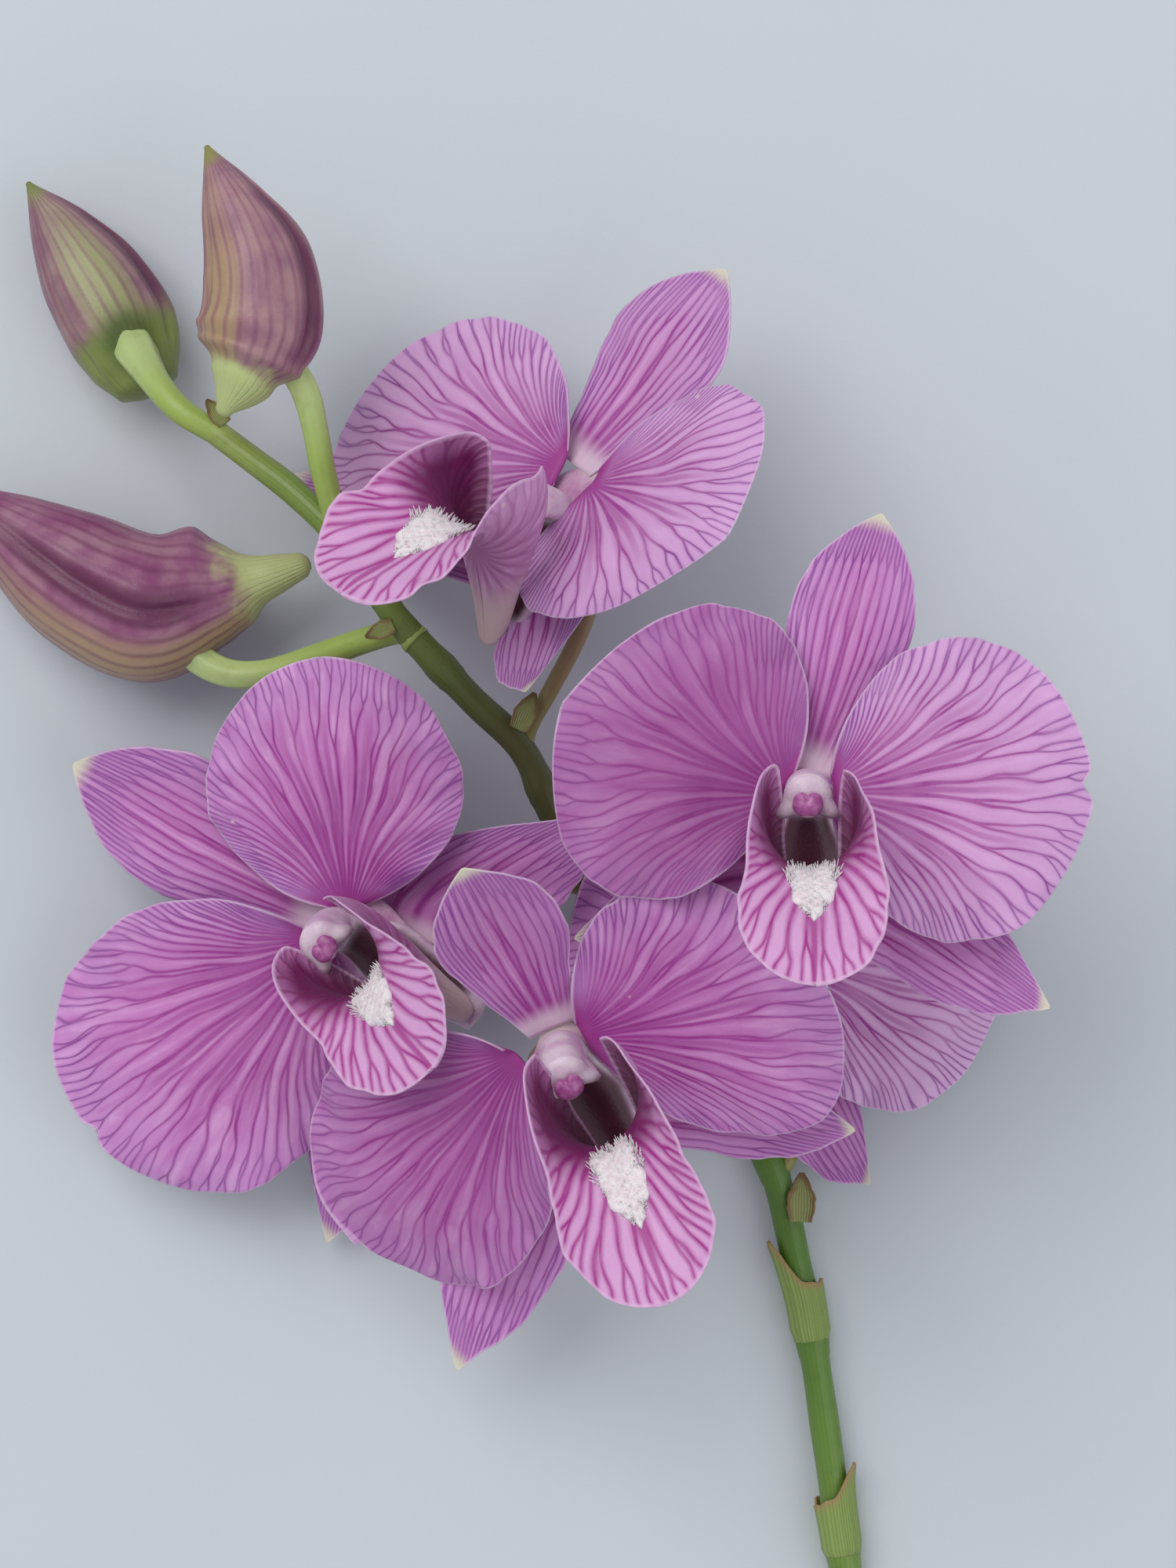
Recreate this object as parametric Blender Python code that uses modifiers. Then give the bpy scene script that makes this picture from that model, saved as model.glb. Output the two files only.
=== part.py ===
"""A cut flowering stem of a dendrobium orchid, laid on its back on a table.

The stem carries five open flowers and three buds, each on its own pedicel. Sizes are in
millimetres in this script and become metres when a mesh is made. The spray is first laid
out in a plane of its own: X to the right, Y towards the tip of the stem, Z towards the
faces of the flowers. It is then settled on the table, which is the plane z = 0.
"""

import math
from dataclasses import dataclass

import bmesh
import bpy
import numpy as np
from mathutils import Euler, Matrix, Vector

# Driving dimensions, in millimetres and degrees.
METRES_PER_MM = 0.001
SETTLE_TURN = (-0.47, 0.19, 0.0)  # how the laid-out spray leans when it rests, about X, Y and Z
SETTLE_MOVE = (8.74, 8.26, 23.69)  # from the layout's origin to the middle of the footprint
BLADE_THICKNESS = 0.5  # petals, sepals and lips
SCALE_THICKNESS = 0.4  # sheaths and bracts
JOINT_GAP = 0.3  # between pieces that meet, so that their meshes stay clear
SHEATH_SLACK = 0.15  # more room between the stem and a sheath round it
SHEATH_TIP_SPREAD = 50.0  # half the angle over which a sheath's mouth rises to its tip
RUFFLE_SKEW = 0.2  # how far, in waves, the ruffle of one margin runs ahead of the middle
LEAST_CURL = 0.01  # radians, so that a flat section still has a radius

# How finely the shapes are cut up.
TIP_CROWDING = 1.5  # how strongly a blade's rows crowd towards its tip
TUBE_SPACING = 2.5  # millimetres between the rings of a stem or pedicel
TUBE_RESOLUTION = 2  # bevel resolution of stems and pedicels
BUD_RESOLUTION = 4  # bevel resolution of buds
CURVE_STEPS = 24  # points on a smooth path between two given ones
MIDRIB_STEPS = 120  # for following a curved midrib
SHEATH_SIDES = 12
SEPAL_GRID = (9, 4)  # rows along a blade and columns across it
PETAL_GRID = (9, 6)
LIP_GRID = (10, 8)
BRACT_GRID = (4, 4)

# Finishes: linear colours, with one roughness for blades and stems and one for papery scales.
PINK = (0.62, 0.26, 0.56)
BURGUNDY_PINK = (0.50, 0.12, 0.38)
COLUMN_WHITE = (0.80, 0.74, 0.66)
ANTHER_PURPLE = (0.38, 0.04, 0.24)
STEM_GREEN = (0.13, 0.22, 0.04)
PEDICEL_GREEN = (0.36, 0.42, 0.14)
BUD_MAUVE = (0.36, 0.16, 0.22)
SHEATH_GREEN = (0.32, 0.42, 0.16)
BRACT_TAN = (0.46, 0.32, 0.20)
FRESH_ROUGHNESS = 0.45
PAPERY_ROUGHNESS = 0.55


@dataclass(frozen=True)
class Blade:
    """One leaf-like organ. Each outline or angle is a list of (share of length, value)."""

    length: float
    half_width: tuple
    cup: tuple  # half angle through which a section curls forward
    arch: tuple  # slope of the midrib towards the front
    sweep: tuple = ((0, 0), (1, 0))  # slope of the midrib sideways
    depth: float = 1.0  # how deep a section is against a round one
    ruffle: float = 0.0  # height of the waves in the margin
    waves: float = 2.0  # waves along the length


@dataclass(frozen=True)
class Stance:
    """How a blade is set on its flower, and its length and width against the usual."""

    base: tuple
    azimuth: float
    tilt: float = 0.0
    roll: float = 0.0
    length: float = 1.0
    width: float = 1.0
    lean: float = 0.0  # how far the upper margin is drawn back to the base and the lower one away


@dataclass(frozen=True)
class Flower:
    """Where a flower sits on the spray, which way it faces, and where its top points."""

    centre: tuple
    facing: tuple
    up: float
    dorsal_sepal: Stance
    lateral_sepal_right: Stance
    lateral_sepal_left: Stance
    petal_right: Stance
    petal_left: Stance
    lip: Stance


DORSAL_SEPAL = Blade(
    length=31.0,
    half_width=((0, 1.7), (0.15, 3.3), (0.35, 5.6), (0.6, 7.5), (0.85, 4.9), (0.96, 1.8), (1, 0.4)),
    cup=((0, 20), (0.3, 6), (1, 12)),
    arch=((0, -5), (0.5, -1), (1, 4)),
)
LATERAL_SEPAL = Blade(
    length=31.0,
    half_width=((0, 6.2), (0.15, 8.0), (0.35, 8.8), (0.6, 7.2), (0.85, 3.4), (0.96, 1.2), (1, 0.4)),
    cup=((0, 4), (0.4, 4), (1, 8)),
    arch=((0, -10), (0.5, -2), (1, 6)),
    sweep=((0, 8), (0.3, -26), (1, -34)),
)
PETAL = Blade(
    length=30.0,
    half_width=(
        (0, 1.7), (0.03, 3.8), (0.08, 7.4), (0.2, 12.6), (0.36, 16.2), (0.54, 17.5), (0.7, 17.0),
        (0.85, 13.6), (0.95, 8.2), (1, 1.6),
    ),
    cup=((0, 8), (0.2, 2), (0.7, -8), (1, -10)),
    arch=((0, 3), (0.5, 3), (1, -12)),
    ruffle=0.7,
    waves=2.2,
)
LIP = Blade(
    length=29.3,
    half_width=(
        (0, 2.2), (0.1, 4.4), (0.2, 9.0), (0.32, 16.6), (0.42, 18.2), (0.5, 13.6), (0.58, 9.4), (0.78, 7.9),
        (0.92, 5.8), (1, 1.4),
    ),
    cup=(
        (0, 80), (0.1, 100), (0.2, 125), (0.32, 145), (0.42, 145), (0.5, 112), (0.58, 66),
        (0.78, 26), (1, 0),
    ),
    arch=((0, 132), (0.2, 122), (0.32, 107), (0.42, 99), (0.54, 80), (0.65, 54), (0.85, 42), (1, 28)),
    depth=1.2,
    ruffle=0.5,
    waves=3.0,
)
FLORAL_BRACT = Blade(
    length=6.0,
    half_width=((0, 1.5), (0.4, 1.9), (0.8, 1.0), (1, 0.3)),
    cup=((0, 50), (1, 20)),
    arch=((0, 0), (1, -8)),
)

# Usual places of the organs on a flower: X to its right, Y to its top, Z out of its face.
DORSAL_BASE = (0.0, 3.1, -2.4)
PETAL_BASE = (2.9, 0.9, -1.0)
LATERAL_BASE = (3.1, -9.6, -4.9)
LIP_BASE = (0.0, -18.4, -0.2)
COLUMN_PATH = ((-19.4, -2.4), (-12.0, -2.8), (-5.0, -2.4), (-0.6, -0.6), (-0.4, 3.2), (-1.7, 6.8))
COLUMN_RADII = (1.0, 1.6, 1.9, 2.2, 2.0, 1.9)
ANTHER_SIZE = (2.0, 1.5, 1.3)
ANTHER_PLACE = (0.0, -2.9, 8.6)


def mirrored(base):
    """The same place on the left of a flower."""
    return (-base[0], base[1], base[2])


FLOWERS = (
    Flower(  # the topmost, turned to the left
        centre=(-2.3, 40.0, 4.0),
        facing=(-0.62, 0.28),
        up=57.0,
        dorsal_sepal=Stance(DORSAL_BASE, 83, -5, 0, 0.89),
        lateral_sepal_right=Stance(LATERAL_BASE, -19, 24, 0, 0.5),
        lateral_sepal_left=Stance(mirrored(LATERAL_BASE), 170, 14, 0, 1.3),
        petal_right=Stance(PETAL_BASE, 7, 2, -8, 0.8, 0.96, -0.22),
        petal_left=Stance(mirrored(PETAL_BASE), 197, 8, 0, 1.08, 1.0, 0.26),
        lip=Stance(LIP_BASE, -91, 0, 0, 1.06),
    ),
    Flower(  # the one on the right, facing straight out
        centre=(24.4, 2.8, 25.5),
        facing=(-0.05, 0.0),
        up=90.0,
        dorsal_sepal=Stance(DORSAL_BASE, 74, 0, 0, 1.02),
        lateral_sepal_right=Stance(LATERAL_BASE, -4, 0, 0, 0.92),
        lateral_sepal_left=Stance((-3.1, -9.6, -6.9), 163, -14, 0, 0.78),
        petal_right=Stance(PETAL_BASE, 3, 0, 0, 0.98, 0.98),
        petal_left=Stance(mirrored(PETAL_BASE), 165, 4, 0, 0.9, 0.96, 0.05),
        lip=Stance(LIP_BASE, -88, 0, 0, 0.94),
    ),
    Flower(  # the one on the left, facing a little down and to the left
        centre=(-29.4, -12.9, -4.5),
        facing=(-0.22, -0.20),
        up=149.0,
        dorsal_sepal=Stance(DORSAL_BASE, 92, 0, 0, 1.15),
        lateral_sepal_right=Stance(LATERAL_BASE, 13, 7, 0, 0.8),
        lateral_sepal_left=Stance(mirrored(LATERAL_BASE), 171, 0, 0, 1.18),
        petal_right=Stance(PETAL_BASE, 37, 0, 0, 1.0, 0.86),
        petal_left=Stance(mirrored(PETAL_BASE), 161, 6, 0, 1.28, 1.04),
        lip=Stance(LIP_BASE, -94, 0, 0, 1.0),
    ),
    Flower(  # the lowest in front, looking down the stem
        centre=(-2.6, -26.4, 17.0),
        facing=(0.04, -0.32),
        up=117.0,
        dorsal_sepal=Stance(DORSAL_BASE, 86, 22, 0, 0.86),
        lateral_sepal_right=Stance(LATERAL_BASE, -8, 4, 0, 0.85),
        lateral_sepal_left=Stance(mirrored(LATERAL_BASE), 195, -6, 0, 1.18),
        petal_right=Stance(PETAL_BASE, -15, 3, 0, 0.94, 0.95, 0.25),
        petal_left=Stance(mirrored(PETAL_BASE), 206, -14, 16, 1.12, 0.86, 0.1),
        lip=Stance(LIP_BASE, -92, 0, 0, 1.0),
    ),
    Flower(  # behind the two before it, on the right
        centre=(21.6, -17.0, -14.0),
        facing=(0.04, 0.02),
        up=75.0,
        dorsal_sepal=Stance(DORSAL_BASE, 88, -10),
        lateral_sepal_right=Stance(LATERAL_BASE, -1, 4, 0, 0.6),
        lateral_sepal_left=Stance(mirrored(LATERAL_BASE), 180, 30, 0, 0.7),
        petal_right=Stance(PETAL_BASE, 2, -4, 0, 0.9, 0.93),
        petal_left=Stance(mirrored(PETAL_BASE), 182, 14, 0, 0.74, 0.9),
        lip=Stance(LIP_BASE, -90, 0, 0, 0.68, 0.9),
    ),
)


@dataclass(frozen=True)
class Tube:
    """A round stem: the points its centre passes through, with its radius at each."""

    points: tuple
    radii: tuple


MAIN_STEM = Tube(
    points=(
        (32.2, -95.7, -21.6), (30.8, -86.5, -21.6), (27.6, -64.4, -21.4), (25.8, -55.2, -21.2),
        (21.6, -40.5, -20.5), (12.0, -32.0, -20.0), (4.6, -23.0, -18.5), (1.2, -12.0, -15.5),
        (0.0, -5.5, -12.5), (-3.7, 0.0, -8.5), (-7.8, 8.7, -4.8), (-13.8, 14.7, -2.5),
        (-21.6, 23.0, -1.2), (-23.9, 25.8, -1.0), (-29.4, 35.1, -1.8), (-36.8, 39.6, -3.6),
        (-42.6, 46.2, -5.0),
    ),
    radii=(1.9, 1.85, 1.8, 1.8, 1.75, 1.7, 1.65, 1.6, 1.6, 1.55, 1.5, 1.5, 1.5, 1.45, 1.4, 1.35, 1.3),
)
# A flower's pedicel starts beside the stem, and its last two points are behind its flower.
FLOWER_PEDICELS = (
    ((-6.7, 11.7, -4.6), (-4.4, 15.8, -4.2), (-0.8, 22.8, -3.8), (1.8, 31.0, -3.6)),
    ((2.0, -2.9, -12.0), (3.8, 2.4, -11.8), (8.0, 6.2, -8.8), (14.0, 7.6, -3.0), (20.0, 6.4, 3.6)),
    ((-2.5, -7.7, -12.8), (-8.0, -10.6, -14.2), (-16.0, -12.0, -16.4), (-24.0, -11.2, -17.0)),
    ((1.2, -23.0, -18.2), (-3.4, -25.4, -16.0), (-8.0, -27.2, -8.0), (-8.0, -25.6, 1.0)),
    ((24.9, -40.4, -20.6), (23.9, -35.5, -21.6), (21.8, -28.0, -22.1), (20.6, -21.5, -21.9)),
)
PEDICEL_RADII = ((0, 0.9), (0.4, 1.0), (0.8, 1.3), (1, 1.7))
PEDICEL_APPROACH = (0.0, 0.9, -7.2)
PEDICEL_END = (0.0, 0.6, -3.6)
BUD_PEDICELS = {
    "bud_1": Tube(
        ((-44.9, 46.8, -5.2), (-48.2, 48.8, -5.0), (-51.0, 52.0, -5.4), (-53.2, 55.2, -8.0)),
        (1.3, 1.3, 1.4, 1.6),
    ),
    "bud_2": Tube(
        ((-30.0, 38.2, -0.2), (-31.0, 41.6, 0.8), (-32.0, 46.0, 1.4), (-33.0, 51.0, 2.0)),
        (1.2, 1.2, 1.3, 1.5),
    ),
    "bud_3": Tube(
        (
            (-24.2, 21.2, -2.4), (-28.0, 19.8, -4.4), (-34.0, 17.6, -7.2), (-41.0, 16.2, -10.6),
            (-46.4, 17.4, -13.0),
        ),
        (1.2, 1.2, 1.3, 1.5, 1.7),
    ),
}
BUDS = {
    "bud_1": Tube(
        (
            (-51.4, 49.4, -14.6), (-53.0, 53.2, -15.2), (-56.2, 58.4, -16.0), (-60.0, 65.0, -16.6),
            (-63.6, 70.4, -16.6), (-67.2, 76.2, -16.2),
        ),
        (1.6, 5.4, 7.2, 6.7, 4.0, 0.5),
    ),
    "bud_2": Tube(
        (
            (-42.3, 48.3, 3.6), (-40.2, 52.0, 3.4), (-38.2, 58.0, 3.2), (-38.6, 65.0, 3.2),
            (-41.6, 72.4, 3.4), (-44.9, 79.4, 3.8),
        ),
        (1.0, 3.6, 7.1, 7.0, 4.2, 0.5),
    ),
    "bud_3": Tube(
        (
            (-34.6, 30.6, -12.0), (-39.0, 29.0, -12.4), (-45.0, 26.4, -13.6), (-52.2, 26.4, -15.0),
            (-60.0, 30.4, -15.4), (-67.4, 35.6, -15.2), (-74.0, 41.4, -14.6),
        ),
        (0.9, 2.6, 6.2, 8.1, 7.6, 4.8, 0.5),
    ),
}


@dataclass(frozen=True)
class Sheath:
    """A papery sleeve round the main stem: its lower end as a share of the stem, and its size."""

    start: float
    length: float
    point: float  # how far its tip reaches past the sleeve
    turn: float  # where the tip is, round the stem


SHEATHS = {
    "sheath_lower": Sheath(0.035, 7.0, 4.0, 20.0),
    "sheath_upper": Sheath(0.19, 7.0, 6.0, 160.0),
}
BRACTS = {  # base point, direction in the layout's plane, roll
    "bract_flower_1": ((-8.2, 11.0, -1.7), 66.0, 0.0),
    "bract_flower_5": ((25.9, -48.8, -18.9), 88.0, 0.0),
    "bract_bud_2": ((-26.6, 37.6, -1.0), 100.0, 0.0),
    "bract_bud_3": ((-22.0, 24.6, 1.0), 200.0, 0.0),
    "bract_tip": ((-42.4, 50.6, -3.2), 120.0, 0.0),
}


def through(points, share):
    """Smooth curve through (share, value) points, read at share, with no overshoot between them."""
    x, y = np.array(points, float).T
    slope = np.diff(y) / np.diff(x)
    tangent = np.concatenate([slope[:1], np.zeros(len(x) - 2), slope[-1:]])
    same_way = slope[:-1] * slope[1:] > 0
    before, after = slope[:-1][same_way], slope[1:][same_way]
    tangent[1:-1][same_way] = 2 * before * after / (before + after)
    i = np.clip(np.searchsorted(x, share) - 1, 0, len(slope) - 1)
    step = x[i + 1] - x[i]
    s = np.clip((share - x[i]) / step, 0, 1)
    return (
        (1 + 2 * s) * (1 - s) ** 2 * y[i]
        + s * (1 - s) ** 2 * step * tangent[i]
        + s * s * (3 - 2 * s) * y[i + 1]
        + s * s * (s - 1) * step * tangent[i + 1]
    )


def blade_points(blade, rows, columns):
    """Grid of points of a blade's middle surface: X along it, Y across it, Z to its front."""
    share = np.linspace(0, 1, MIDRIB_STEPS + 1)
    rise = np.radians(through(blade.arch, share))
    side = np.radians(through(blade.sweep, share))
    way = np.stack([np.cos(rise) * np.cos(side), np.cos(rise) * np.sin(side), np.sin(rise)], axis=1)
    midrib = np.concatenate([np.zeros((1, 3)), np.cumsum((way[1:] + way[:-1]) / 2, axis=0)])
    midrib *= blade.length / MIDRIB_STEPS

    t = 1 - (1 - np.linspace(0, 1, rows + 1)) ** TIP_CROWDING
    at = [np.interp(t, share, midrib[:, i]) for i in range(3)]
    rise = np.radians(through(blade.arch, t))[:, None]
    half_width = through(blade.half_width, t)[:, None]
    curl = np.radians(through(blade.cup, t))[:, None]
    curl = np.where(np.abs(curl) < LEAST_CURL, LEAST_CURL, curl)
    across = np.linspace(-1, 1, columns + 1)[None, :]
    radius = half_width / curl
    y = radius * np.sin(curl * across)
    z = blade.depth * radius * (1 - np.cos(curl * across))
    wave = 2 * math.pi * (blade.waves * t[:, None] + RUFFLE_SKEW * across)
    z = z + blade.ruffle * np.abs(across) ** 3 * np.sin(wave)
    point = [at[0][:, None] - z * np.sin(rise), at[1][:, None] + y, at[2][:, None] + z * np.cos(rise)]
    return np.stack(point, axis=2)


def turned(azimuth, tilt, roll):
    """Matrix that rolls a blade about its length, tilts it forward, then swings it to its azimuth."""
    swing = Matrix.Rotation(math.radians(azimuth), 3, "Z")
    lift = Matrix.Rotation(math.radians(-tilt), 3, "Y")
    return np.array(swing @ lift @ Matrix.Rotation(math.radians(roll), 3, "X"))


def flower_axes(flower):
    """Columns are the flower's right, top and front in the layout."""
    front = Vector((*flower.facing, math.sqrt(1 - flower.facing[0] ** 2 - flower.facing[1] ** 2)))
    top = Vector((math.cos(math.radians(flower.up)), math.sin(math.radians(flower.up)), 0.0))
    top = (top - top.dot(front) * front).normalized()
    return np.array([top.cross(front), top, front]).T


def on_flower(flower, points):
    """Points given on a flower, moved to where that flower is in the layout."""
    return points @ flower_axes(flower).T + np.array(flower.centre)


def set_blade(flower, stance, points, hand=1):
    """A blade's points, set on its flower; hand is -1 for a blade that is a mirror image."""
    sized = points * (stance.length, stance.width, stance.length)
    sized[..., 0] -= stance.lean * sized[..., 1]
    placed = sized * (1, hand, 1) @ turned(stance.azimuth, stance.tilt, stance.roll).T
    return on_flower(flower, placed + np.array(stance.base))


def smooth_path(points, count):
    """Evenly spaced points on a smooth curve through the given ones, and their shares of its length."""
    knots = np.array(points, float)
    ends = [2 * knots[:1] - knots[1:2], knots, 2 * knots[-1:] - knots[-2:-1]]
    p = np.concatenate(ends)
    pieces = []
    for i in range(1, len(p) - 2):
        s = np.linspace(0, 1, CURVE_STEPS, endpoint=i == len(p) - 3)[:, None]
        square = 2 * p[i - 1] - 5 * p[i] + 4 * p[i + 1] - p[i + 2]
        cube = 3 * p[i] - p[i - 1] - 3 * p[i + 1] + p[i + 2]
        pieces.append(p[i] + 0.5 * ((p[i + 1] - p[i - 1]) * s + square * s**2 + cube * s**3))
    dense = np.concatenate(pieces)
    run = np.concatenate([[0], np.cumsum(np.linalg.norm(np.diff(dense, axis=0), axis=1))])
    knot_run = run[np.linspace(0, len(run) - 1, len(knots)).round().astype(int)]
    even = np.linspace(0, run[-1], count)
    path = np.stack([np.interp(even, run, dense[:, i]) for i in range(3)], axis=1)
    return path, even / run[-1], knot_run / run[-1]


def new_material(name, colour, roughness):
    """A plain coloured finish."""
    material = bpy.data.materials.new(name)
    material.use_nodes = True
    shader = material.node_tree.nodes["Principled BSDF"]
    shader.inputs["Base Color"].default_value = (*colour, 1.0)
    shader.inputs["Roughness"].default_value = roughness
    shader.inputs["Metallic"].default_value = 0.0
    material.diffuse_color = (*colour, 1.0)
    return material


class Spray:
    """The collection that the pieces go in, with the empty that settles them on the table."""

    def __init__(self):
        self.collection = bpy.data.collections.new("dendrobium_spray")
        bpy.context.scene.collection.children.link(self.collection)
        self.root = bpy.data.objects.new("spray_on_table", None)
        self.root.rotation_euler = Euler([math.radians(a) for a in SETTLE_TURN])
        self.root.location = [METRES_PER_MM * m for m in SETTLE_MOVE]
        self.collection.objects.link(self.root)

    def add(self, name, data, colour, roughness):
        """Put a piece on the spray with a finish of its own."""
        piece = bpy.data.objects.new(name, data)
        self.collection.objects.link(piece)
        piece.parent = self.root
        data.materials.append(new_material(name, colour, roughness))
        return piece


def blade_mesh(name, grid):
    """An open sheet of four-sided faces over a grid of points."""
    rows, columns = grid.shape[0] - 1, grid.shape[1] - 1
    mesh = bmesh.new()
    bmesh.ops.create_grid(mesh, x_segments=columns, y_segments=rows, size=1.0)
    mesh.verts.ensure_lookup_table()
    for vert, point in zip(mesh.verts, grid.reshape(-1, 3), strict=True):
        vert.co = Vector(point) * METRES_PER_MM
    data = bpy.data.meshes.new(name)
    bmesh.ops.recalc_face_normals(mesh, faces=mesh.faces)
    mesh.to_mesh(data)
    mesh.free()
    data.shade_smooth()
    return data


def thicken(piece, thickness):
    """Give an open sheet its thickness, half of it on each side."""
    shell = piece.modifiers.new("thickness", "SOLIDIFY")
    shell.thickness = thickness * METRES_PER_MM
    shell.offset = 0.0


def add_blade(spray, name, grid, thickness, colour):
    """A petal, sepal, lip or bract."""
    thicken(spray.add(name, blade_mesh(name, grid), colour, FRESH_ROUGHNESS), thickness)


def along(tube):
    """Evenly spaced points down the middle of a tube, their shares of its length, radii and length."""
    length = np.linalg.norm(np.diff(np.array(tube.points), axis=0), axis=1).sum()
    path, share, knots = smooth_path(tube.points, round(length / TUBE_SPACING) + 1)
    return path, share, through(tuple(zip(knots, tube.radii, strict=True)), share), length


def add_tube(spray, name, tube, colour, resolution=TUBE_RESOLUTION):
    """A stem, pedicel or bud: a curve with filled ends whose thickness changes along it."""
    path, _, radii, _ = along(tube)
    curve = bpy.data.curves.new(name, "CURVE")
    curve.dimensions = "3D"
    curve.bevel_depth = METRES_PER_MM
    curve.bevel_resolution = resolution
    curve.use_fill_caps = True
    spline = curve.splines.new("POLY")
    spline.points.add(len(path) - 1)
    for point, place, radius in zip(spline.points, path, radii, strict=True):
        point.co = (*(place * METRES_PER_MM), 1.0)
        point.radius = radius
    spray.add(name, curve, colour, FRESH_ROUGHNESS)


def add_anther(spray, name, flower):
    """The cap at the tip of the column."""
    mesh = bmesh.new()
    bmesh.ops.create_icosphere(mesh, subdivisions=2, radius=1.0)
    points = np.array([v.co for v in mesh.verts]) * np.array(ANTHER_SIZE) + np.array(ANTHER_PLACE)
    for vert, point in zip(mesh.verts, on_flower(flower, points), strict=True):
        vert.co = Vector(point) * METRES_PER_MM
    data = bpy.data.meshes.new(name)
    mesh.to_mesh(data)
    mesh.free()
    data.shade_smooth()
    spray.add(name, data, ANTHER_PURPLE, FRESH_ROUGHNESS)


def add_flower(spray, number, flower):
    """Three sepals, two petals, a lip, and the column with its anther cap."""
    stem = f"flower_{number}"
    sepals = {
        "dorsal_sepal": (DORSAL_SEPAL, flower.dorsal_sepal, 1),
        "lateral_sepal_right": (LATERAL_SEPAL, flower.lateral_sepal_right, 1),
        "lateral_sepal_left": (LATERAL_SEPAL, flower.lateral_sepal_left, -1),
    }
    for organ, (blade, stance, hand) in sepals.items():
        grid = set_blade(flower, stance, blade_points(blade, *SEPAL_GRID), hand)
        add_blade(spray, f"{stem}_{organ}", grid, BLADE_THICKNESS, PINK)
    petals = {"petal_right": (flower.petal_right, 1), "petal_left": (flower.petal_left, -1)}
    for organ, (stance, hand) in petals.items():
        grid = set_blade(flower, stance, blade_points(PETAL, *PETAL_GRID), hand)
        add_blade(spray, f"{stem}_{organ}", grid, BLADE_THICKNESS, PINK)
    grid = set_blade(flower, flower.lip, blade_points(LIP, *LIP_GRID))
    add_blade(spray, f"{stem}_lip", grid, BLADE_THICKNESS, BURGUNDY_PINK)

    profile = np.array([(0.0, y, z) for y, z in COLUMN_PATH])
    column = Tube(tuple(map(tuple, on_flower(flower, profile))), COLUMN_RADII)
    add_tube(spray, f"{stem}_column", column, COLUMN_WHITE)
    add_anther(spray, f"{stem}_anther_cap", flower)


def add_bract(spray, name, base, direction, roll):
    """A small scale at the foot of a pedicel."""
    grid = blade_points(FLORAL_BRACT, *BRACT_GRID) @ turned(direction, 0, roll).T + np.array(base)
    add_blade(spray, name, grid, SCALE_THICKNESS, BRACT_TAN)


def add_sheath(spray, name, sheath):
    """An open sleeve round the main stem, whose mouth is drawn out to a tip on one side."""
    path, share, radii, length = along(MAIN_STEM)
    mesh = bmesh.new()
    bmesh.ops.create_cone(mesh, segments=SHEATH_SIDES, radius1=1.0, radius2=1.0, depth=1.0)
    for vert in mesh.verts:
        angle = math.atan2(vert.co.y, vert.co.x)
        reach = 0.0
        if vert.co.z > 0:
            off_tip = math.degrees(angle) - sheath.turn
            off_tip = (off_tip + 180) % 360 - 180
            reach = sheath.length + sheath.point * math.exp(-((off_tip / SHEATH_TIP_SPREAD) ** 2))
        run = sheath.start + reach / length
        place = np.array([np.interp(run, share, path[:, i]) for i in range(3)])
        ahead = np.array([np.interp(run + share[1] / 2, share, path[:, i]) for i in range(3)]) - place
        ahead /= np.linalg.norm(ahead)
        side = np.cross(ahead, (0.0, 0.0, 1.0))
        side /= np.linalg.norm(side)
        front = np.cross(side, ahead)
        radius = np.interp(run, share, radii) + JOINT_GAP + SCALE_THICKNESS / 2 + SHEATH_SLACK
        point = place + radius * (math.cos(angle) * side + math.sin(angle) * front)
        vert.co = Vector(point) * METRES_PER_MM
    bmesh.ops.recalc_face_normals(mesh, faces=mesh.faces)
    data = bpy.data.meshes.new(name)
    mesh.to_mesh(data)
    mesh.free()
    data.shade_smooth()
    thicken(spray.add(name, data, SHEATH_GREEN, PAPERY_ROUGHNESS), SCALE_THICKNESS)


def main():
    for old in list(bpy.data.objects):
        bpy.data.objects.remove(old, do_unlink=True)
    spray = Spray()
    add_tube(spray, "main_stem", MAIN_STEM, STEM_GREEN)
    for name, sheath in SHEATHS.items():
        add_sheath(spray, name, sheath)
    for number, (flower, start) in enumerate(zip(FLOWERS, FLOWER_PEDICELS, strict=True), start=1):
        end = on_flower(flower, np.array([PEDICEL_APPROACH, PEDICEL_END]))
        points = (*start, *map(tuple, end))
        radii = through(PEDICEL_RADII, np.linspace(0, 1, len(points)))
        add_tube(spray, f"pedicel_flower_{number}", Tube(points, tuple(radii)), PEDICEL_GREEN)
    for name, tube in BUD_PEDICELS.items():
        add_tube(spray, f"pedicel_{name}", tube, PEDICEL_GREEN)
    for name, tube in BUDS.items():
        add_tube(spray, name, tube, BUD_MAUVE, BUD_RESOLUTION)
    for name, (base, direction, roll) in BRACTS.items():
        add_bract(spray, name, base, direction, roll)
    for number, flower in enumerate(FLOWERS, start=1):
        add_flower(spray, number, flower)


if __name__ == "__main__":
    main()
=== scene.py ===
"""A cut flowering stem of a dendrobium orchid, laid on its back, with the looks of the real thing.

Sizes are in millimetres and become metres when a mesh is made. The spray is laid out in a
plane of its own, X to the right, Y towards the tip of the stem, Z towards the faces of the
flowers, and is then settled on the table, the plane z = 0, as the CAD model is.
"""

import logging
import math
from dataclasses import dataclass, replace
from enum import Enum

import bpy
import numpy as np
from mathutils import Euler, Matrix, Vector


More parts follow.
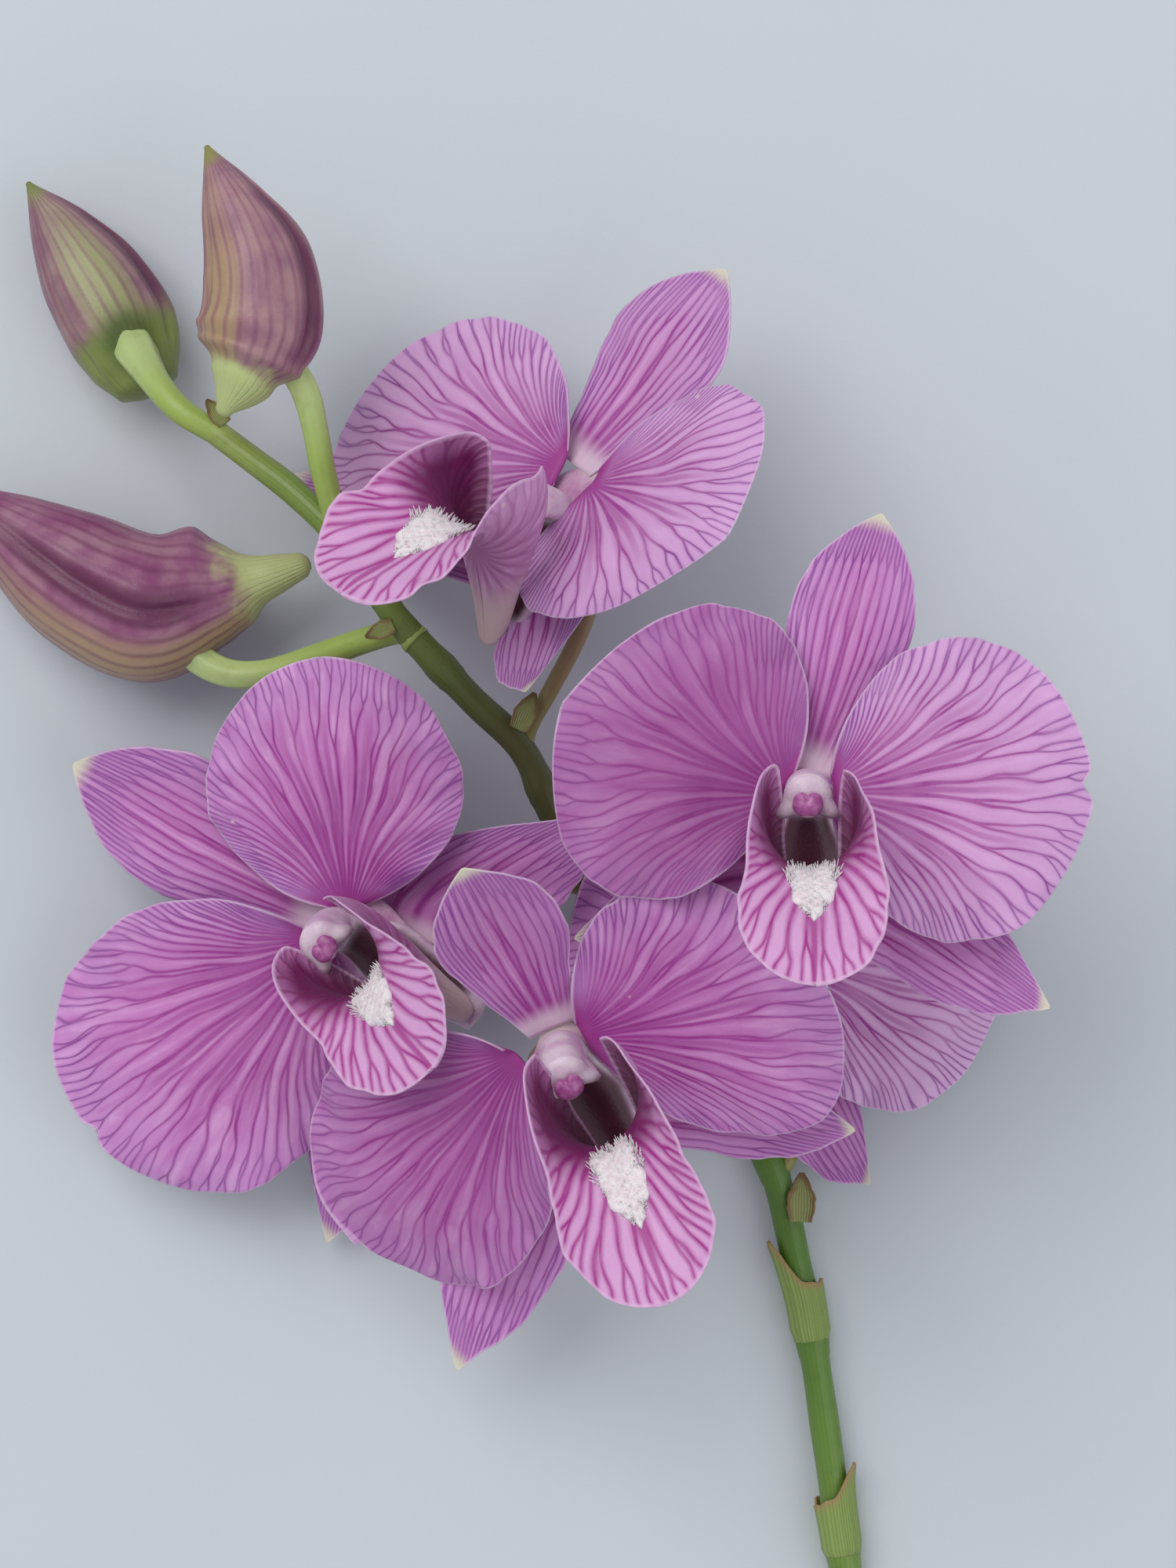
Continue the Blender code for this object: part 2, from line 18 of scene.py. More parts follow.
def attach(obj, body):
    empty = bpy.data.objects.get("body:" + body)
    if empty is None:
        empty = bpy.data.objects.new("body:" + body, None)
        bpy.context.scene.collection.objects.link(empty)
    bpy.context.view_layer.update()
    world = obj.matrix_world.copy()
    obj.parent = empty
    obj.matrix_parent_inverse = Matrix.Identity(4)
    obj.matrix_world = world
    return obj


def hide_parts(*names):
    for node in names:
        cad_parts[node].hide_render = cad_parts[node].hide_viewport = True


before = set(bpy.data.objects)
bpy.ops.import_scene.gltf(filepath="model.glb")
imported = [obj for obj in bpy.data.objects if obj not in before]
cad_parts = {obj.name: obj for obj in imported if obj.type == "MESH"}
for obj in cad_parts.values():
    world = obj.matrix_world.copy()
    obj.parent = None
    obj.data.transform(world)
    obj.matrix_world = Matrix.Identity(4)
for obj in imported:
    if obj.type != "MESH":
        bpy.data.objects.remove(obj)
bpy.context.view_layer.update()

LOG = logging.getLogger("spray")
Profile = tuple[tuple[float, float], ...]  # (share of length, value) pairs
Place = tuple[float, float, float]
Marks = dict[str, np.ndarray]  # three numbers for each point, for a finish to read
Piece = bpy.types.Object
Material = bpy.types.Material
Socket = bpy.types.NodeSocket
Term = float | str | tuple | Socket  # what a node's input is set to: see Coat.read

METRES_PER_MM = 0.001
MM_PER_METRE = 1000.0
SETTLE_TURN = (-0.47, 0.19, 0.0)  # how the laid-out spray leans when it rests, about X, Y and Z
SETTLE_MOVE = (8.74, 8.26, 23.69)  # from the layout's origin to the middle of the footprint
TINY = 1e-12  # keeps a vector without a length from being divided by nothing
MERGE_DISTANCE = 1e-6  # metres, closes the seam and poles of a lofted body
MIDRIB_STEPS = 240  # for following a curved midrib
CURVE_STEPS = 24  # points on a smooth path between two given ones
TIP_CROWDING = {False: 1.5, True: 1.9}  # how rows crowd towards a pointed or a round tip
SMOOTHING_STEPS = 400  # points along an outline while it is smoothed
OUTLINE_SMOOTHING = 0.042  # share of the length over which an outline is smoothed
OUTLINE_STEP = 0.15  # millimetres between the points that a distance to the margin is taken from
LEAST_CURL = 0.01  # radians, so that a flat section still has a radius
THICKNESS_LEVELS = np.linspace(0.1, 1.0, 19)  # the steps in which a blade thins out
THINNING_REACH = 2.5  # millimetres from the margin
HAIR_GAP = 0.002  # millimetres kept between the rings of a flat end
FLAT_END = (0.0, 0.9, 0.985)  # radii of a flat end's rings, against the tube's
DOMED_END = (0.0, 0.45, 0.9)
FAR_END = (0.92, 0.71, 0.38, 0.0)
PAST_CUT = 2.0  # mark of the stem's skin, where the cut face has its share of the radius
SOCKET_WIDTH = 4.0  # millimetres over which a bud is drawn in round its stalk
SOCKET_DEPTH = 1.3


class Slot(Enum):
    """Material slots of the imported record."""

    PETALS = "petals"
    LIPS = "lips"
    COLUMNS = "columns"
    ANTHER_CAPS = "anther_caps"
    BUDS = "buds"
    STEM = "stem"
    PEDICELS = "pedicels"
    SHEATHS = "sheaths"
    BRACTS = "bracts"


class Hand(Enum):
    """Whether a blade is as drawn or its mirror image."""

    RIGHT = 1
    LEFT = -1


# ---------------------------------------------------------------- curves and places


def through(points: Profile, share: np.ndarray) -> np.ndarray:
    """Read a smooth curve that passes through given points without overshooting them.

    Args:
        points: (share, value) pairs in rising order of share.
        share: where to read the curve.

    Returns:
        The values there.
    """
    x, y = np.array(points, float).T
    slope = np.diff(y) / np.diff(x)
    tangent = np.concatenate([slope[:1], np.zeros(len(x) - 2), slope[-1:]])
    same_way = slope[:-1] * slope[1:] > 0
    before, after = slope[:-1][same_way], slope[1:][same_way]
    tangent[1:-1][same_way] = 2 * before * after / (before + after)
    i = np.clip(np.searchsorted(x, share) - 1, 0, len(slope) - 1)
    step = x[i + 1] - x[i]
    s = np.clip((share - x[i]) / step, 0, 1)
    return (
        (1 + 2 * s) * (1 - s) ** 2 * y[i]
        + s * (1 - s) ** 2 * step * tangent[i]
        + s * s * (3 - 2 * s) * y[i + 1]
        + s * s * (s - 1) * step * tangent[i + 1]
    )


def ease(value: np.ndarray, start: float, end: float) -> np.ndarray:
    """A step from 0 at start to 1 at end, level at both."""
    s = np.clip((value - start) / (end - start), 0, 1)
    return s * s * (3 - 2 * s)


def bump(value: np.ndarray, centre: float, width: float) -> np.ndarray:
    """A rounded peak of height 1."""
    return np.exp(-(((value - centre) / width) ** 2))


def around(count: int) -> np.ndarray:
    """The angles of evenly spaced points round a ring, as a row."""
    return np.linspace(0, 2 * math.pi, count, endpoint=False)[None, :]


def away(degrees: np.ndarray, centre: float) -> np.ndarray:
    """How far round from a centre angles are, from -180 to 180 degrees."""
    return (degrees - centre + 180) % 360 - 180


def unit(vectors: np.ndarray) -> np.ndarray:
    """Vectors brought to a length of 1."""
    return vectors / (np.linalg.norm(vectors, axis=-1, keepdims=True) + TINY)


def mark(*numbers: np.ndarray | float) -> np.ndarray:
    """Up to three numbers for each point, spread over the whole grid and filled up with 0."""
    return np.stack(np.broadcast_arrays(*numbers, *[0.0] * (3 - len(numbers))), axis=-1)


def read_path(path: np.ndarray, share: np.ndarray, where: np.ndarray) -> np.ndarray:
    """The points of a path, given at some shares of its length, at other shares."""
    return np.stack([np.interp(where, share, column) for column in path.T], axis=-1)


def run_along(path: np.ndarray) -> np.ndarray:
    """How far along a path each of its points is."""
    return np.concatenate([[0], np.cumsum(np.linalg.norm(np.diff(path, axis=0), axis=1))])


def smooth_path(points: tuple[Place, ...], count: int) -> tuple[np.ndarray, np.ndarray, np.ndarray]:
    """Follow a smooth curve through given points.

    Args:
        points: what the curve passes through.
        count: how many evenly spaced points to return.

    Returns:
        The points, their shares of the curve's length, and the shares of the given points.
    """
    knots = np.array(points, float)
    p = np.concatenate([2 * knots[:1] - knots[1:2], knots, 2 * knots[-1:] - knots[-2:-1]])
    pieces = []
    for i in range(1, len(p) - 2):
        s = np.linspace(0, 1, CURVE_STEPS, endpoint=i == len(p) - 3)[:, None]
        square = 2 * p[i - 1] - 5 * p[i] + 4 * p[i + 1] - p[i + 2]
        cube = 3 * p[i] - p[i - 1] - 3 * p[i + 1] + p[i + 2]
        pieces.append(p[i] + 0.5 * ((p[i + 1] - p[i - 1]) * s + square * s**2 + cube * s**3))
    dense = np.concatenate(pieces)
    run = run_along(dense)
    knot_run = run[np.linspace(0, len(run) - 1, len(knots)).round().astype(int)]
    even = np.linspace(0, run[-1], count)
    return read_path(dense, run, even), even / run[-1], knot_run / run[-1]


def read_grid(grid: np.ndarray, rows: np.ndarray, t: np.ndarray, a: np.ndarray) -> np.ndarray:
    """Read a blade's grid between its points.

    Args:
        grid: rows by columns by 3.
        rows: the share of the length at each row.
        t: shares of the length to read it at.
        a: how far across to read it, from -1 to 1.

    Returns:
        The values there.
    """
    row = np.interp(t, rows, np.arange(len(rows)))
    column = (a + 1) / 2 * (grid.shape[1] - 1)
    r = np.minimum(row.astype(int), len(rows) - 2)
    c = np.minimum(column.astype(int), grid.shape[1] - 2)
    up, over = (row - r)[..., None], (column - c)[..., None]
    low = grid[r, c] * (1 - over) + grid[r, c + 1] * over
    high = grid[r + 1, c] * (1 - over) + grid[r + 1, c + 1] * over
    return low * (1 - up) + high * up


def settled(points: np.ndarray) -> np.ndarray:
    """Layout points in millimetres, moved to where the spray rests, in metres."""
    turn = np.array(Euler([math.radians(a) for a in SETTLE_TURN]).to_matrix())
    return (points @ turn.T + np.array(SETTLE_MOVE)) * METRES_PER_MM


def turned(azimuth: float, tilt: float, roll: float) -> np.ndarray:
    """Turn a blade as it is set on its flower.

    Args:
        azimuth: degrees it is swung round, last.
        tilt: degrees it is tilted forward, before that.
        roll: degrees it is rolled about its length, first.

    Returns:
        The matrix of the three turns.
    """
    swing = Matrix.Rotation(math.radians(azimuth), 3, "Z")
    lift = Matrix.Rotation(math.radians(-tilt), 3, "Y")
    return np.array(swing @ lift @ Matrix.Rotation(math.radians(roll), 3, "X"))


# ---------------------------------------------------------------- making pieces


def new_sheet(name: str, points: np.ndarray, marks: Marks) -> Piece:
    """Draw a grid primitive out to its place.

    Args:
        name: the piece's name.
        points: rows by columns by 3, in millimetres of the layout.
        marks: vectors for the finish to read, rows by columns by 3 each.

    Returns:
        The piece, an open sheet.
    """
    rows, columns = points.shape[0] - 1, points.shape[1] - 1
    bpy.ops.object.select_all(action="DESELECT")
    bpy.ops.mesh.primitive_grid_add(x_subdivisions=columns, y_subdivisions=rows, size=1.0)
    piece = bpy.context.object
    piece.name = piece.data.name = name.replace("_", "-")
    piece.data.vertices.foreach_set("co", settled(points).ravel())
    for key, values in marks.items():
        layer = piece.data.attributes.new(key, "FLOAT_VECTOR", "POINT")
        layer.data.foreach_set("vector", np.ascontiguousarray(values, float).ravel())
    piece.data.update()
    return piece


def close_seams() -> None:
    """Merge the points of the active piece that lie on each other, and face it outwards."""
    bpy.ops.object.mode_set(mode="EDIT")
    bpy.ops.mesh.select_all(action="SELECT")
    bpy.ops.mesh.remove_doubles(threshold=MERGE_DISTANCE)
    bpy.ops.mesh.normals_make_consistent(inside=False)
    bpy.ops.object.mode_set(mode="OBJECT")


def new_body(name: str, rings: np.ndarray, marks: Marks) -> Piece:
    """Loft a closed body through rings of points, the first and last drawn in to a point.

    Args:
        name: the piece's name.
        rings: rings by points by 3, in millimetres of the layout.
        marks: vectors for the finish to read, shaped as the rings.

    Returns:
        The piece, smooth, with its seam and poles closed.
    """
    wrapped = {key: np.concatenate([v, v[:, :1]], axis=1) for key, v in marks.items()}
    piece = new_sheet(name, np.concatenate([rings, rings[:, :1]], axis=1), wrapped)
    close_seams()
    bpy.ops.object.shade_smooth()
    return piece


def thicken(piece: Piece, thickness: float, **settings: str | int) -> None:
    """Give the active piece, a sheet, its thickness, half of it on each side.

    Args:
        piece: the sheet.
        thickness: in millimetres.
        settings: further settings of the modifier.
    """
    shell = piece.modifiers.new("thickness", "SOLIDIFY")
    shell.thickness = thickness * METRES_PER_MM
    shell.offset = 0.0
    for key, value in settings.items():
        setattr(shell, key, value)
    piece.data.shade_smooth()
    bpy.ops.object.modifier_apply(modifier="thickness")


def copied(name: str, model: Piece, places: np.ndarray) -> Piece:
    """Repeat a small model many times in one mesh.

    Args:
        name: the new piece's name.
        model: what is repeated; it is removed afterwards.
        places: count by 4 by 3, the X, Y and Z axes and the origin of each copy, in millimetres.

    Returns:
        The piece.
    """
    corners = np.array([v.co for v in model.data.vertices])
    faces = [tuple(f.vertices) for f in model.data.polygons]
    points = np.einsum("vi,kij->kvj", corners, places[:, :3]) + places[:, 3:4]
    every = [
        tuple(i + k * len(corners) for i in face) for k in range(len(places)) for face in faces
    ]
    data = bpy.data.meshes.new(name.replace("_", "-"))
    data.from_pydata(settled(points.reshape(-1, 3)).tolist(), [], every)
    data.shade_smooth()
    bpy.data.objects.remove(model, do_unlink=True)
    piece = bpy.data.objects.new(data.name, data)
    bpy.context.scene.collection.objects.link(piece)
    return piece


def hand_over(piece: Piece, node: str, slot: Slot, *finishes: Material) -> None:
    """Dress a piece, let it ride on the spray and stand for its CAD node.

    Args:
        piece: the finished piece.
        node: the CAD node that it replaces.
        slot: the record's slot that its finish belongs to; not used.
        finishes: its materials, unless it has them already.
    """
    for finish in finishes:
        piece.data.materials.append(finish)
    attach(piece, "root")
    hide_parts(node)
    LOG.info("%s: %d faces", piece.name, len(piece.data.polygons))


# ---------------------------------------------------------------- finishes


@dataclass(frozen=True)
class Form:
    """A named form of term: the node it becomes, and the inputs that its terms go to."""

    kind: str
    inputs: tuple[int | str, ...]
    out: int = 0
    settings: tuple[tuple[str, str], ...] = ()


FORMS = {
    # share, the colour at 0, the colour at 1
    "BLEND": Form("Mix", (0, 6, 7), 2, (("data_type", "RGBA"),)),
    # place, cells in a millimetre
    "CELLS": Form("TexVoronoi", ("Vector", "Scale")),
    # place, patches in a millimetre, detail
    "CLOUD": Form("TexNoise", ("Vector", "Scale", "Detail")),
    # value, its start and end, and what is had there
    "EASE": Form("MapRange", (0, 1, 2, 3, 4), 0, (("interpolation_type", "SMOOTHSTEP"),)),
    # height from 0 to 1, metres that it stands for, strength
    "RELIEF": Form("Bump", ("Height", "Distance", "Strength")),
    "VECTOR": Form("CombineXYZ", (0, 1, 2)),
}


def linear(colour: str) -> tuple[float, float, float, float]:
    """An sRGB hex colour as linear light."""
    parts = [int(colour[i : i + 2], 16) / 255 for i in (1, 3, 5)]
    return (*(c / 12.92 if c <= 0.04045 else ((c + 0.055) / 1.055) ** 2.4 for c in parts), 1.0)


@dataclass
class Coat:
    """The beginnings of a finish: its tree, and what its patterns are laid out on."""

    name: str

    def __post_init__(self) -> None:
        """Make an empty material that reads places in millimetres."""
        self.material = bpy.data.materials.new(self.name)
        self.material.use_nodes = True
        self.tree = self.material.node_tree
        self.tree.nodes.clear()
        self.known: dict[tuple, Socket] = {}
        place = self.add_node("TexCoord", {}, out=3)
        self.spot = self.add_node("VectorMath", {0: place, 3: MM_PER_METRE}, operation="SCALE")

    def add_node(self, kind: str, inputs: dict, out: int = 0, **settings: str) -> Socket | None:
        """Add a shader node with its settings and links.

        Args:
            kind: the node's type, without its "ShaderNode".
            inputs: a term for each input, by name or number.
            out: which output to return.
            settings: properties of the node.

        Returns:
            The output, or None for a node that has none.
        """
        node = self.tree.nodes.new("ShaderNode" + kind)
        for key, value in settings.items():
            setattr(node, key, value)
        for key, term in inputs.items():
            value = self.read(term)
            if isinstance(value, Socket):
                self.tree.links.new(value, node.inputs[key])
            else:
                node.inputs[key].default_value = value
        return node.outputs[out] if node.outputs else None

    def read(self, term: Term) -> Socket | float | tuple:
        """Work out a term, the same one only once.

        Args:
            term: a value, a hex colour, an output, or a tuple of a form and its terms, such as
                ("ADD", a, b). The form is one of FORMS or an operation of the Math node.

        Returns:
            The output to link or the value to set.
        """
        if isinstance(term, str):
            return linear(term)
        if not isinstance(term, tuple) or not isinstance(term[0], str):
            return term
        if term not in self.known:
            plain = Form("Math", (0, 1, 2), 0, (("operation", term[0]),))
            form = FORMS.get(term[0], plain)
            inputs = dict(zip(form.inputs, term[1:], strict=False))
            self.known[term] = self.add_node(form.kind, inputs, form.out, **dict(form.settings))
        return self.known[term]

    def mark(self, name: str) -> list[Socket]:
        """The three numbers of one of the piece's own marks."""
        vector = self.add_node("Attribute", {}, out=1, attribute_name=name)
        return list(self.add_node("SeparateXYZ", {0: vector}).node.outputs)


class Finish:
    """A skin, painted by a method that says what each input of its surface is."""

    def paint(self, coat: Coat) -> dict[str, Term]:
        """What each input of the surface is; every finish has its own."""
        raise NotImplementedError

    def make(self, name: str) -> Material:
        """Make the material.

        Args:
            name: what it is called.

        Returns:
            The material.
        """
        coat = Coat(name)
        coat.add_node("OutputMaterial", {0: coat.add_node("BsdfPrincipled", self.paint(coat))})
        return coat.material


@dataclass(frozen=True)
class Veining:
    """How the veins of a blade run, in shares of the way from its foot to its margin."""

    count: float  # veins at the foot
    forks: tuple[tuple[float, float], ...]  # where each forking starts and where it is done
    width_foot: float  # millimetres
    width_margin: float
    wander: float = 0.35  # how far a vein strays, against the space between two
    bold: float = 0.6  # half the width of the stain along a vein of the foot

    def draw(self, spot: Term, fan: Term, reach: Term, pitch: Term) -> tuple[Term, Term, Term]:
        """Draw the veins.

        Args:
            spot: the place, in millimetres.
            fan: which vein a point lies on, from -1 to 1 across the blade.
            reach: share of the way from the foot to the margin.
            pitch: millimetres between two veins of the foot, as spread out at that point.

        Returns:
            How much of a point is vein: its core, the blurred stain round it, and the broader
            stain along the veins of the foot.
        """
        astray = ("MULTIPLY", ("SUBTRACT", ("CLOUD", spot, 1 / 7.0, 0.0), 0.5), self.wander)
        off = ("PINGPONG", ("ADD", ("MULTIPLY", fan, self.count / 2), astray), 0.5)
        main = ("EASE", ("MULTIPLY", off, pitch), 0.15, self.bold, 1.0, 0.0)
        ragged = ("MULTIPLY_ADD", ("CLOUD", spot, 1 / 5.0, 0.0), 0.4, ("SUBTRACT", reach, 0.2))
        step = 0.25
        for start, end in self.forks:
            off = ("ABSOLUTE", ("SUBTRACT", off, ("EASE", ragged, start, end, 0.0, step)))
            step /= 2
        half = ("EASE", reach, 0.1, 0.95, self.width_foot / 2, self.width_margin / 2)
        gone = ("DIVIDE", ("MULTIPLY", off, pitch), half)
        core = ("EASE", gone, 0.35, 1.25, 1.0, 0.0)
        stain = ("EASE", gone, 0.4, 3.4, 1.0, 0.0)
        return core, stain, ("MULTIPLY", main, ("EASE", reach, 0.45, 0.9, 1.0, 0.0))


@dataclass(frozen=True)
class BladeFinish(Finish):
    """Fresh orchid petal, a waxy translucent skin that gives a soft satin sheen."""

    heart: str  # ground colour near the foot
    ground: str
    outer: str  # ground colour near the margin
    vein: str
    margin_vein: str
    rim: str
    foot: str  # the last stretch before the column
    tip: str
    veining: Veining
    glow: str = "#dfacdb"  # paler streaks between the veins
    deep: str = "#8c3c82"  # what a darker blade leans to: partly its own deeper colour, partly painted shade
    paler_tone_and_light: str = "#dcb2dc"  # what a paler blade leans to: partly its own paler colour, partly painted light that lifts a blade lying in shade
    fleck: str = "#e6cdd0"  # pale specks, about 0.6 mm across and a centimetre apart
    vein_strength: float = 0.9
    foot_reach: float = 0.07  # share of the length that the foot's colour takes
    tip_reach: float = 2.0  # share of the length where the tip's colour starts; above 1 for none

    def paint(self, coat: Coat) -> dict[str, Term]:
        """Paint one side of a blade.

        Args:
            coat: the finish being made.

        Returns:
            What each input of the surface is.
        """
        spot = coat.spot
        fan, reach, pitch = coat.mark("vein")
        along, margin, _ = coat.mark("place")
        tone, _, _ = coat.mark("tone")
        core, stain, main = self.veining.draw(spot, fan, reach, pitch)
        patch = ("CLOUD", spot, 1 / 7.0, 3.0)
        uneven = ("ADD", reach, ("MULTIPLY", ("SUBTRACT", patch, 0.5), 0.3))
        ground = ("BLEND", ("EASE", uneven, 0.08, 0.5, 0.0, 1.0), self.heart, self.ground)
        ground = ("BLEND", ("EASE", uneven, 0.5, 0.98, 0.0, 1.0), ground, self.outer)
        # Streaks that run out along the veins, paler and deeper than the ground.
        drawn_out = (
            "VECTOR", ("MULTIPLY", fan, 24.0), ("MULTIPLY", reach, 3.5), ("MULTIPLY", patch, 2.0)
        )
        streaks = ("CLOUD", drawn_out, 1.0, 3.0)
        outward = ("EASE", reach, 0.1, 0.4, 0.3, 1.0)
        pale = ("MULTIPLY", ("EASE", streaks, 0.48, 0.72, 0.0, 0.62), outward)
        ground = ("BLEND", pale, ground, self.glow)
        ground = ("BLEND", ("EASE", streaks, 0.5, 0.28, 0.0, 0.45), ground, self.heart)
        # A paler blade: partly its own colour, partly painted light that lifts a blade lying in
        # shade.
        ground = ("BLEND", ("MAXIMUM", ("MULTIPLY", tone, -1.0), 0.0), ground, self.paler_tone_and_light)
        # The veins: a wide blurred stain, the bold start of each, and its ragged core.
        streak = ("BLEND", ("EASE", reach, 0.7, 1.0, 0.0, 1.0), self.vein, self.margin_vein)
        colour = ("BLEND", ("MULTIPLY", stain, 0.3 * self.vein_strength), ground, streak)
        colour = ("BLEND", ("MULTIPLY", main, 0.72 * self.vein_strength), colour, self.vein)
        fade = ("MULTIPLY_ADD", ("CLOUD", spot, 1 / 4.5, 3.0), 1.5, -0.05)
        strong = ("MULTIPLY", ("MULTIPLY", core, fade), self.vein_strength)
        colour = ("BLEND", ("MINIMUM", ("MAXIMUM", strong, 0.0), 0.9), colour, streak)
        # A deeper blade: partly its own colour, partly painted shade.
        colour = ("BLEND", ("MAXIMUM", tone, 0.0), colour, self.deep)
        # The foot, the rim, the tip and the specks.
        foot = ("EASE", along, 0.3 * self.foot_reach, self.foot_reach, 1.0, 0.0)
        colour = ("BLEND", foot, colour, self.foot)
        colour = ("BLEND", ("EASE", margin, 0.05, 0.3, 0.6, 0.0), colour, self.rim)
        rough = ("MULTIPLY", ("SUBTRACT", ("CLOUD", spot, 1 / 1.6, 2.0), 0.5), 0.03)
        tipped = ("EASE", ("ADD", along, rough), self.tip_reach, self.tip_reach + 0.07, 0.0, 0.9)
        colour = ("BLEND", tipped, colour, self.tip)
        speck = ("EASE", ("CELLS", spot, 0.11), 0.025, 0.045, 0.6, 0.0)
        colour = ("BLEND", speck, colour, self.fleck)
        height = ("ADD", ("MULTIPLY", core, -0.3), ("MULTIPLY", ("CELLS", spot, 3.2), 0.2))
        height = ("ADD", height, ("MULTIPLY", ("CLOUD", spot, 1 / 1.4, 3.0), 0.8))
        return {
            "Base Color": colour,
            "Roughness": ("MULTIPLY_ADD", ("CLOUD", spot, 1 / 0.8, 2.0), 0.16, 0.4),
            "IOR": 1.4,
            "Subsurface Weight": 0.3,
            "Subsurface Radius": (1.0, 0.45, 0.85),
            "Subsurface Scale": 0.0008,
            "Sheen Weight": 0.06,
            "Sheen Roughness": 0.45,
            "Normal": ("RELIEF", height, 0.1 * METRES_PER_MM, 0.8),
        }


@dataclass(frozen=True)
class LipFinish(Finish):
    """Inner face of an orchid lip: waxy, burgundy in the throat, boldly veined in front."""

    throat: str
    burgundy: str
    lobe_rim: str
    ground: str
    vein: str
    rim: str
    veining: Veining

    def paint(self, coat: Coat) -> dict[str, Term]:
        """Paint the inner side of a lip.

        Args:
            coat: the finish being made.

        Returns:
            What each input of the surface is.
        """
        spot = coat.spot
        fan, reach, pitch = coat.mark("vein")
        along, margin, across = coat.mark("place")
        core, stain, _ = self.veining.draw(spot, fan, reach, pitch)
        patch = ("MULTIPLY", ("SUBTRACT", ("CLOUD", spot, 1 / 3.0, 3.0), 0.5), 0.5)
        # The middle lobe, in front.
        ground = ("BLEND", ("ADD", 0.3, patch), self.ground, self.rim)
        front = ("BLEND", ("MULTIPLY", stain, 0.55), ground, self.vein)
        bold = ("MULTIPLY_ADD", ("CLOUD", spot, 1 / 2.5, 2.0), 1.5, -0.08)
        front = ("BLEND", ("MULTIPLY", core, ("MINIMUM", bold, 0.92)), front, self.vein)
        middle = ("EASE", ("ABSOLUTE", across), 0.02, 0.09, 0.8, 0.0)
        front = ("BLEND", middle, front, self.vein)
        # The side lobes and the throat between them.
        edge = ("ADD", ("EASE", margin, 0.3, 2.6, 0.9, 0.0), ("MULTIPLY", patch, 0.4))
        inside = ("BLEND", edge, self.burgundy, self.lobe_rim)
        inside = ("BLEND", ("MULTIPLY", core, 0.55), inside, self.burgundy)
        inside = ("BLEND", ("EASE", along, 0.16, 0.4, 0.9, 0.0), inside, self.throat)
        lip_line = ("ADD", along, ("MULTIPLY", patch, 0.1))
        colour = ("BLEND", ("EASE", lip_line, 0.49, 0.6, 0.0, 1.0), inside, front)
        colour = ("BLEND", ("EASE", margin, 0.12, 0.5, 0.8, 0.0), colour, self.rim)
        pebbles = ("MULTIPLY", ("CLOUD", spot, 1 / 0.7, 3.0), 0.5)
        height = ("ADD", ("MULTIPLY", stain, 0.4), pebbles)
        return {
            "Base Color": colour,
            "Roughness": ("MULTIPLY_ADD", ("CLOUD", spot, 1 / 0.8, 2.0), 0.16, 0.38),
            "IOR": 1.4,
            "Subsurface Weight": 0.22,
            "Subsurface Radius": (1.0, 0.4, 0.8),
            "Subsurface Scale": 0.0007,
            "Sheen Weight": 0.05,
            "Normal": ("RELIEF", height, 0.2 * METRES_PER_MM, 0.9),
        }


@dataclass(frozen=True)
class PlainTissue(Finish):
    """Unveined plant tissue with soft blotches: papillae, column and anther cap."""

    base: str
    blotch: str
    end: str  # colour that takes over as the mark's first number passes end_from
    foot: str  # colour up to where that number is foot_until, as far as the second one says
    foot_until: float
    end_from: float = 2.0
    end_over: float = 0.2
    patch: float = 1.2  # millimetres across a blotch
    roughness: float = 0.4
    grain: float = 0.3  # millimetres between bumps
    depth: float = 0.1
    glow: float = 0.3
    coat_weight: float = 0.0

    def paint(self, coat: Coat) -> dict[str, Term]:
        """Paint the tissue.

        Args:
            coat: the finish being made.

        Returns:
            What each input of the surface is.
        """
        along, ahead, _ = coat.mark("place")
        blotch = ("EASE", ("CLOUD", coat.spot, 1 / self.patch, 3.0), 0.35, 0.7, 0.0, 1.0)
        colour = ("BLEND", blotch, self.base, self.blotch)
        end = ("EASE", along, self.end_from, self.end_from + self.end_over, 0.0, 1.0)
        colour = ("BLEND", end, colour, self.end)
        foot = ("EASE", along, self.foot_until, self.foot_until + 0.12, 1.0, 0.0)
        colour = ("BLEND", ("MULTIPLY", foot, ahead), colour, self.foot)
        bumps = ("CLOUD", coat.spot, 1 / self.grain, 2.0)
        return {
            "Base Color": colour,
            "Roughness": self.roughness,
            "IOR": 1.42,
            "Subsurface Weight": self.glow,
            "Subsurface Radius": (1.0, 0.6, 0.7),
            "Subsurface Scale": 0.0008,
            "Coat Weight": self.coat_weight,
            "Coat Roughness": 0.25,
            "Normal": ("RELIEF", bumps, self.depth * METRES_PER_MM, 1.0),
        }


